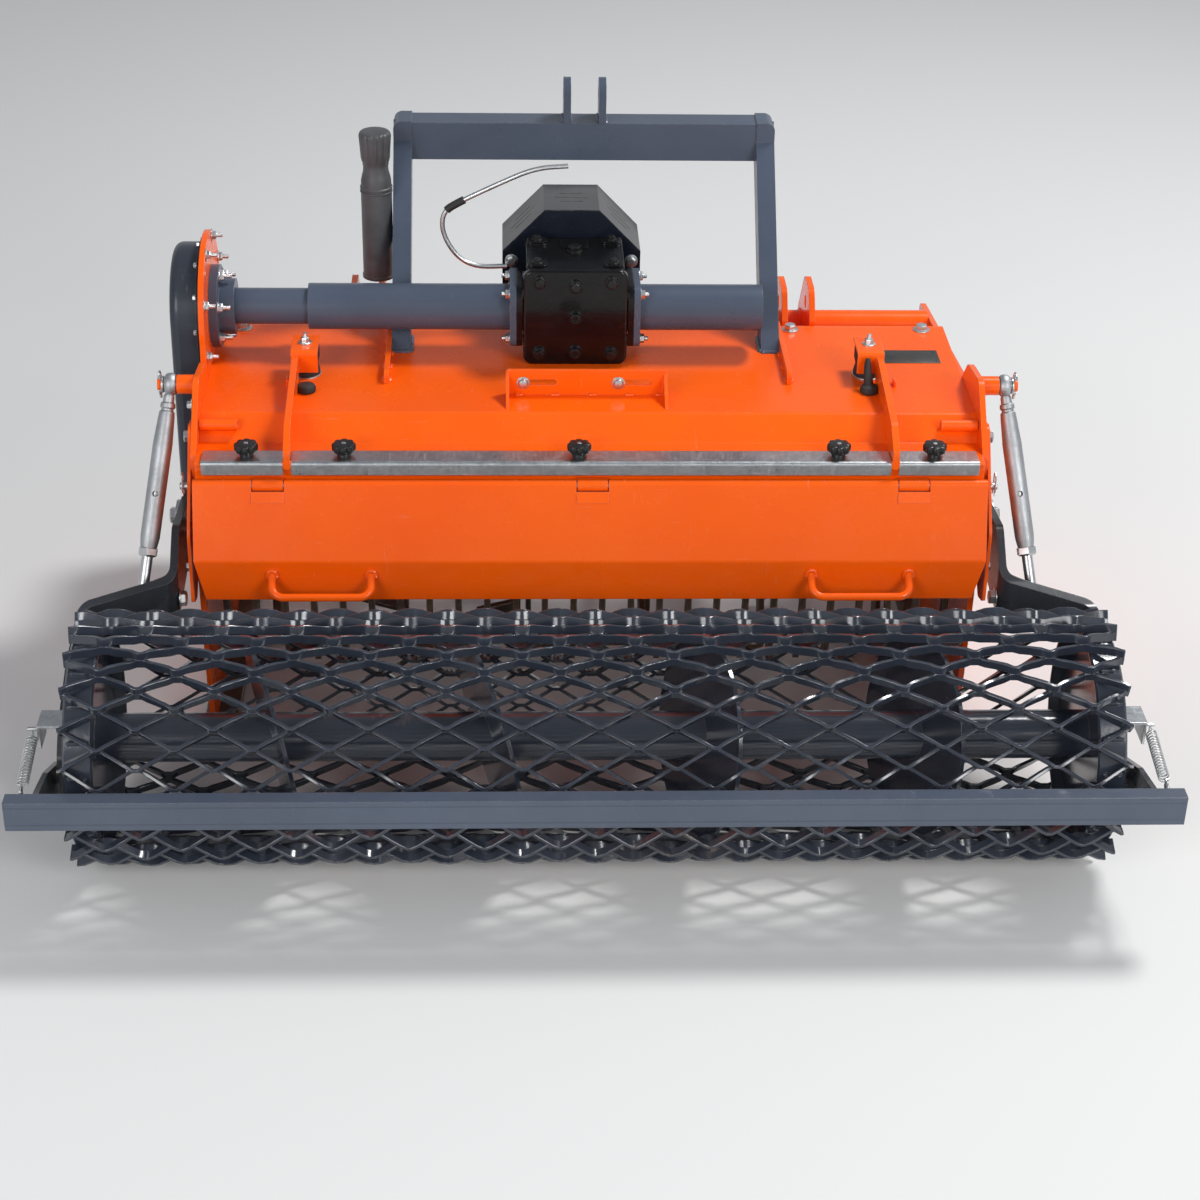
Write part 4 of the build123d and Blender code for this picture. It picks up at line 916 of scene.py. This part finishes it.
def input_shaft():
    """Six-spline stub with a locking groove: distance from the gearbox, share of the radius, and splines or none."""
    low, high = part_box("pto_shaft")
    long, r = high.y - low.y, (high.x - low.x) / 2
    levels = [(0, 0.86, 0), (0.052, 0.86, 0), (0.056, 0.86, 0), (0.0562, 1, 1), (0.086, 1, 1), (0.0865, 0.84, 0),
              (0.0945, 0.84, 0), (0.095, 1, 1), (long - 0.002, 1, 1), (long, 0.9, 1)]

    def splined(level, k):
        return r * (level[1] + (0.0 if k % 12 < 6 else -0.16 * level[2]))

    blank = Blank()
    at = Vector(((low.x + high.x) / 2, low.y, (low.z + high.z) / 2))
    blank.turned(at, Y, X, Z, levels, 72, splined)
    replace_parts(blank.make("input_shaft_splined", "pto", "worn_steel"), "pto_shaft")


def drive_head():
    """Studs through the left side plate's head, hub nuts, and screws round the drive case's lip."""
    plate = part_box("side_plate_left")
    studs = Blank()
    for a in [radians(22 + 45 * n) for n in range(8)]:
        at = about(plate[1].x, DRIVE_AXIS, 112, a)
        if at.z > 0.55:
            studs.bolt(at, X, across=0.012, height=0.006, washer=0.0100, thread=0.010, turn=a)
    for a in [radians(60 * n + 40) for n in range(6)]:
        studs.bolt(about(plate[1].x + 0.014, DRIVE_AXIS, 56, a), X, height=0.007, thread=0.012, turn=a)
    studs.make("drive_head_studs", "frame", "zinc")
    screws = Blank()
    x, lip_r = plate[0].x - 0.005, 105
    for a in [radians(30 * n) for n in range(7)]:
        for axis, s in ((DRIVE_AXIS, 1), (ROTOR_AXIS, -1)):
            screws.bolt(about(x, axis, s * lip_r, a), -X, across=0.0085, height=0.005, washer=0, turn=a)
    for share in (0.2, 0.4, 0.6, 0.8):
        for s in (-1, 1):
            at = mm(0, 590 + 18 * share + s * lip_r, 232 + 383 * share)
            at.x = x
            screws.bolt(at, -X, across=0.0085, height=0.005, washer=0)
    screws.make("drive_case_screws", "frame", "zinc")


def bracket_hardware():
    """Dome bolts in the slotted bracket, and the studs and nuts of the comb's rubber buffers."""
    bolts = Blank()
    for x in (-104, 45):
        bolts.lathe(mm(x, 440, 559), -Y, [(0, 0.0105), (0.0016, 0.0105), (0.0018, 0.0082), (0.004, 0.0078),
                                          (0.0062, 0.0058), (0.007, 0.002)], 28)
    for side in (-1, 1):
        bolts.bolt(mm(447 * side, 517, 592), Z, across=0.0125, height=0.008, washer=0.0108, thread=0.007, turn=side)
        bolts.lathe(on_hood(447 * side, 517, 0.2), Z, [(0, 0.0236), (0.0014, 0.0236), (0.0018, 0.0226)], 32)
    bolts.make("bracket_bolts", "frame", "zinc")
    stops = Blank()
    for side in (-1, 1):
        stops.lathe(on_hood(443 * side, 452, -0.5), Z, [(0, 0.0130), (0.002, 0.0150), (0.007, 0.0152),
                                                        (0.011, 0.0130), (0.013, 0.0080), (0.0135, 0.002)], 28)
    horn = [mm(443, 454, 545), mm(441, 458, 556), mm(440, 464, 568), mm(440, 470, 578), mm(441, 476, 585)]
    stops.rod(horn, [0.0078, 0.0072, 0.0062, 0.0052, 0.0036], 14)
    stops.make("rubber_stops", "frame", "rubber")


def hood_fittings():
    """Bolts on the hood, tube stubs beside the side plates, and the comb arms' end bosses and tabs."""
    bolts, stubs = Blank(), Blank()
    for x in (-562, 342, 562):
        bolts.bolt(on_hood(x, 690), Z, across=0.017, height=0.008, washer=0.014, turn=x)
    for side in (-1, 1):
        stubs.tube(mm(541 * side, 352, 529), X * side,
                   [(0, 0.0055), (0.001, 0.0088), (0.058, 0.0088), (0.058, 0.0055)])
        stubs.lathe(mm(461 * side, 262.5, 505), -Y,
                    [(-0.004, 0.0082), (-0.0005, 0.0082), (0.0002, 0.0070), (0.0004, 0.004)])
        stubs.block(on_hood(480 * side + 4, 470, -0.2), mm(480 * side + 8, 486, hood_z(470) + 10), 0.0008)
    bolts.make("hood_bolts", "frame", "zinc")
    stubs.make("hood_stubs", "frame", "orange_paint")


def hood_welds():
    """Beads where ribs, bracket, mast and link ears are welded down."""
    orange, grey = Blank(), Blank()
    for side in (-1, 1):
        for edge in (313.8 * side, 324.2 * side):
            for n, y in enumerate((486, 535, 584, 633, 672)):
                orange.weld([on_hood(edge, y, 0.8), on_hood(edge, y + 16, 0.8)], 0.0026, seed=n)
        for n, z in enumerate((544, 556)):
            x, y = side * 124 - 5, 404 + 14 * n
            orange.weld([mm(x, y, z - 14), mm(x, y, z - 6)], 0.002, seed=n)
        foot = ((284, 598), (284, 655), (316, 655), (316, 598), (284, 598))
        grey.weld([on_hood(x * side, y, 0.6) for x, y in foot], 0.0038, seed=3)
        for x in (22, 36):
            grey.weld([mm(x * side, 838, 842.6), mm(x * side, 886, 842.6)], 0.0026, seed=x)
        for x in (333, 343, 379, 389):
            arc = [about(x * side / 1000, FRONT_TUBE_AXIS, 24.6, radians(8 * k - 20)) for k in range(22)]
            orange.weld(arc, 0.0030, seed=x)
    for n, x in enumerate((-118, -60, -2, 56, 104)):
        z = hood_z(439) + 0.8
        orange.weld([mm(x, 438.8, z), mm(x + 14, 438.8, z)], 0.0026, seed=n)
    orange.make("orange_welds", "frame", "orange_paint", WELD)
    grey.make("mast_welds", "frame", "blue_grey_paint")


def side_hardware(side, word):
    """Shield bolts and clip, and the bolts of the arm's pivot, the roller's bearing and the bearing cap."""
    out = X * side
    zinc = Blank()
    zinc.bolt(mm(614 * side, 347, 512), out, across=0.017, height=0.008, washer=0.013, turn=side)
    zinc.bolt(mm(614 * side, 262, 330), out, height=0.007, washer=0.011, turn=side)
    at = mm(614 * side, 297, 452)
    zinc.lathe(at, out, [(0, 0.0058), (0.013, 0.0058), (0.014, 0.0048)], 20)
    clip = ((7, -16), (7, -6), (7, 6), (7, 15), (5, 20), (0, 22), (-5, 20), (-7, 15), (-6, 9), (-8, 4),
            (-9, -2), (-7, -8), (-9, -13))
    zinc.rod([at + out * 0.0095 + Vector((0, y, z)) / 1000 for y, z in clip], 0.0014, 8)
    if side < 0:
        zinc.bolt(mm(-609, 357, 560), out, across=0.011, height=0.006, washer=0.009)
    else:
        for a in [radians(60 * n + 30) for n in range(6)]:
            zinc.bolt(about(0.621, ROTOR_AXIS, 56, a), out, height=0.007, washer=0.0102, turn=a)
    zinc.make("side_bolts_" + word, "frame", "zinc")
    head = Blank()
    head.bolt(mm(655 * side, 430, 330), out, across=0.024, height=0.010, washer=0.019, turn=side)
    head.make("arm_pivot_bolt_" + word, "frame", "zinc")
    ends = Blank()
    for a in [radians(a) for a in (0, 62, 118, 270)]:
        ends.bolt(about(0.780 * side, ROLLER_AXIS, 29, a), out, height=0.0042, washer=0, turn=a)
    ends.lathe(mm(780 * side, *ROLLER_AXIS), out, [(0, 0.0175), (0.0026, 0.0175), (0.0034, 0.0160)], 32)
    for a in [radians(120 * n + 30) for n in range(3)]:
        ends.bolt(about(0.752 * side, ROLLER_AXIS, 28, a), -out, height=0.005, washer=0, turn=a)
    ends.make("bearing_bolts_" + word, "arms", "zinc")


def rotor_bolts():
    """Two bolts through each hoe's shank and its flange."""
    flanges, hoes, flange_turn = 6, 6, 22
    reach = 0.600 - 0.006 - 0.010 - 0.062 - 0.009     # inner face, gap, flange, hoe's foot and hoe
    bolts = Blank()
    for i in range(flanges):
        x = -reach + i * 2 * reach / (flanges - 1)
        for k in range(hoes):
            lean = radians(60 * k + flange_turn * i)
            out = Vector((0, -sin(lean), cos(lean)))
            across = Vector((0, cos(lean), sin(lean)))
            face = X * (-1 if k % 2 else 1)
            for d in (-0.011, 0.011):
                at = mm(0, *ROTOR_AXIS) + out * 0.092 + across * d + X * x
                bolts.bolt(at + face * 0.014, face, across=0.014, height=0.006, washer=0, turn=lean)
                bolts.bolt(at - face * 0.005, -face, across=0.014, height=0.007, washer=0, turn=lean)
    bolts.make("hoe_bolts", "rotor", "worn_steel")


def bent_hook_rod():
    """Rod bent in one sweep from the guard's back, with a black sleeve where it turns over."""
    path = [mm(x, 700.8, z) for x, z in ((-128, 647), (-180, 645), (-212, 664), (-234, 705), (-232, 740),
                                         (-206, 757), (-145, 787), (-84, 815), (-30, 819))]
    for _ in range(4):
        eased = [path[0]]
        for a, b in zip(path, path[1:]):
            eased += [a.lerp(b, 0.25), a.lerp(b, 0.75)]
        path = eased + [path[-1]]
    rod, sleeve = Blank(), Blank()
    rod.rod(path, 0.0040, 14)
    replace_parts(rod.make("hook_rod_bent", "frame", "zinc"), "hook_rod")
    sleeve.rod([p for p in path if p.z > 0.742 and -0.226 < p.x < -0.196], 0.0064, 14)
    sleeve.make("hook_rod_sleeve", "frame", "rubber")


def door_details():
    """Leaves that fill the door under each hinge barrel, and the weld round each handle's foot."""
    down, out = Vector((0, -0.447, -0.894)), Vector((0, -0.894, 0.447))
    leaves, beads = Blank(), Blank()
    leaf = ((0.0096, 0.009), (0.0275, 0.009), (0.0275, 0.005), (0.0096, 0.005))
    for x in (-490, 0, 490):
        leaves.plate([mm(x - 24.6, 257, 474) + down * d + out * h for d, h in leaf], X, 0.0492)
    leaves.make("door_hinge_leaves", "door", "orange_paint")
    slope = Vector((0, 0.196, -0.981))
    for handle_x in (-411, 411):
        for x in (handle_x - 75, handle_x + 75):
            foot = mm(x, 208.4, 345.6)
            beads.weld([foot + X * 0.0072 * cos(a) + slope * 0.0086 * sin(a)
                        for a in [radians(15 * k) for k in range(25)]], seed=x)
    beads.make("handle_welds", "door", "orange_paint", WELD)


def data_plate():
    """Blank plate on the hood."""
    plate = Blank()
    z = Z * (hood_z(580) / 1000)
    face = z + Z * 0.0008
    plate.block(mm(457, 559, 0) + z - Z * 0.0004, mm(574, 608, 0) + face, 0.0003)
    for x in (462, 569):
        for y in (564, 603):
            plate.lathe(mm(x, y, 0) + face, Z, [(0, 0.0022), (0.0006, 0.0018), (0.0008, 0.001)], 12)
    plate.make("data_plate_blank", "frame", "zinc", DARK_PLATE)


def dress_nodes():
    """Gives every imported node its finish."""
    slots = {row["node"]: row["material_slot"] for row in frame["record"]["subparts"]}
    special = {"clamp_strips": STRIP_ZINC, "spring_brackets": STRIP_ZINC, "roller_core": ROLLER_PAINT,
               "roller_cage": ROLLER_PAINT, "scraper_bar": BAR_PAINT, "drive_case": SHADED_CASE_PAINT}
    for name, piece in nodes.items():
        piece.data.materials.clear()
        piece.data.materials.append(special.get(name) or finishes[slots[name]])


camera()
studio()
floor()
dress_nodes()
expanded_roller()
both(scraper_spring)
both(eye_bolt)
star_knobs()
canister_body()
canister_cap()
both(turnbuckle)
gearbox_hardware()
guard_shell()
input_shaft()
drive_head()
bracket_hardware()
hood_fittings()
hood_welds()
both(side_hardware)
rotor_bolts()
bent_hook_rod()
door_details()
data_plate()
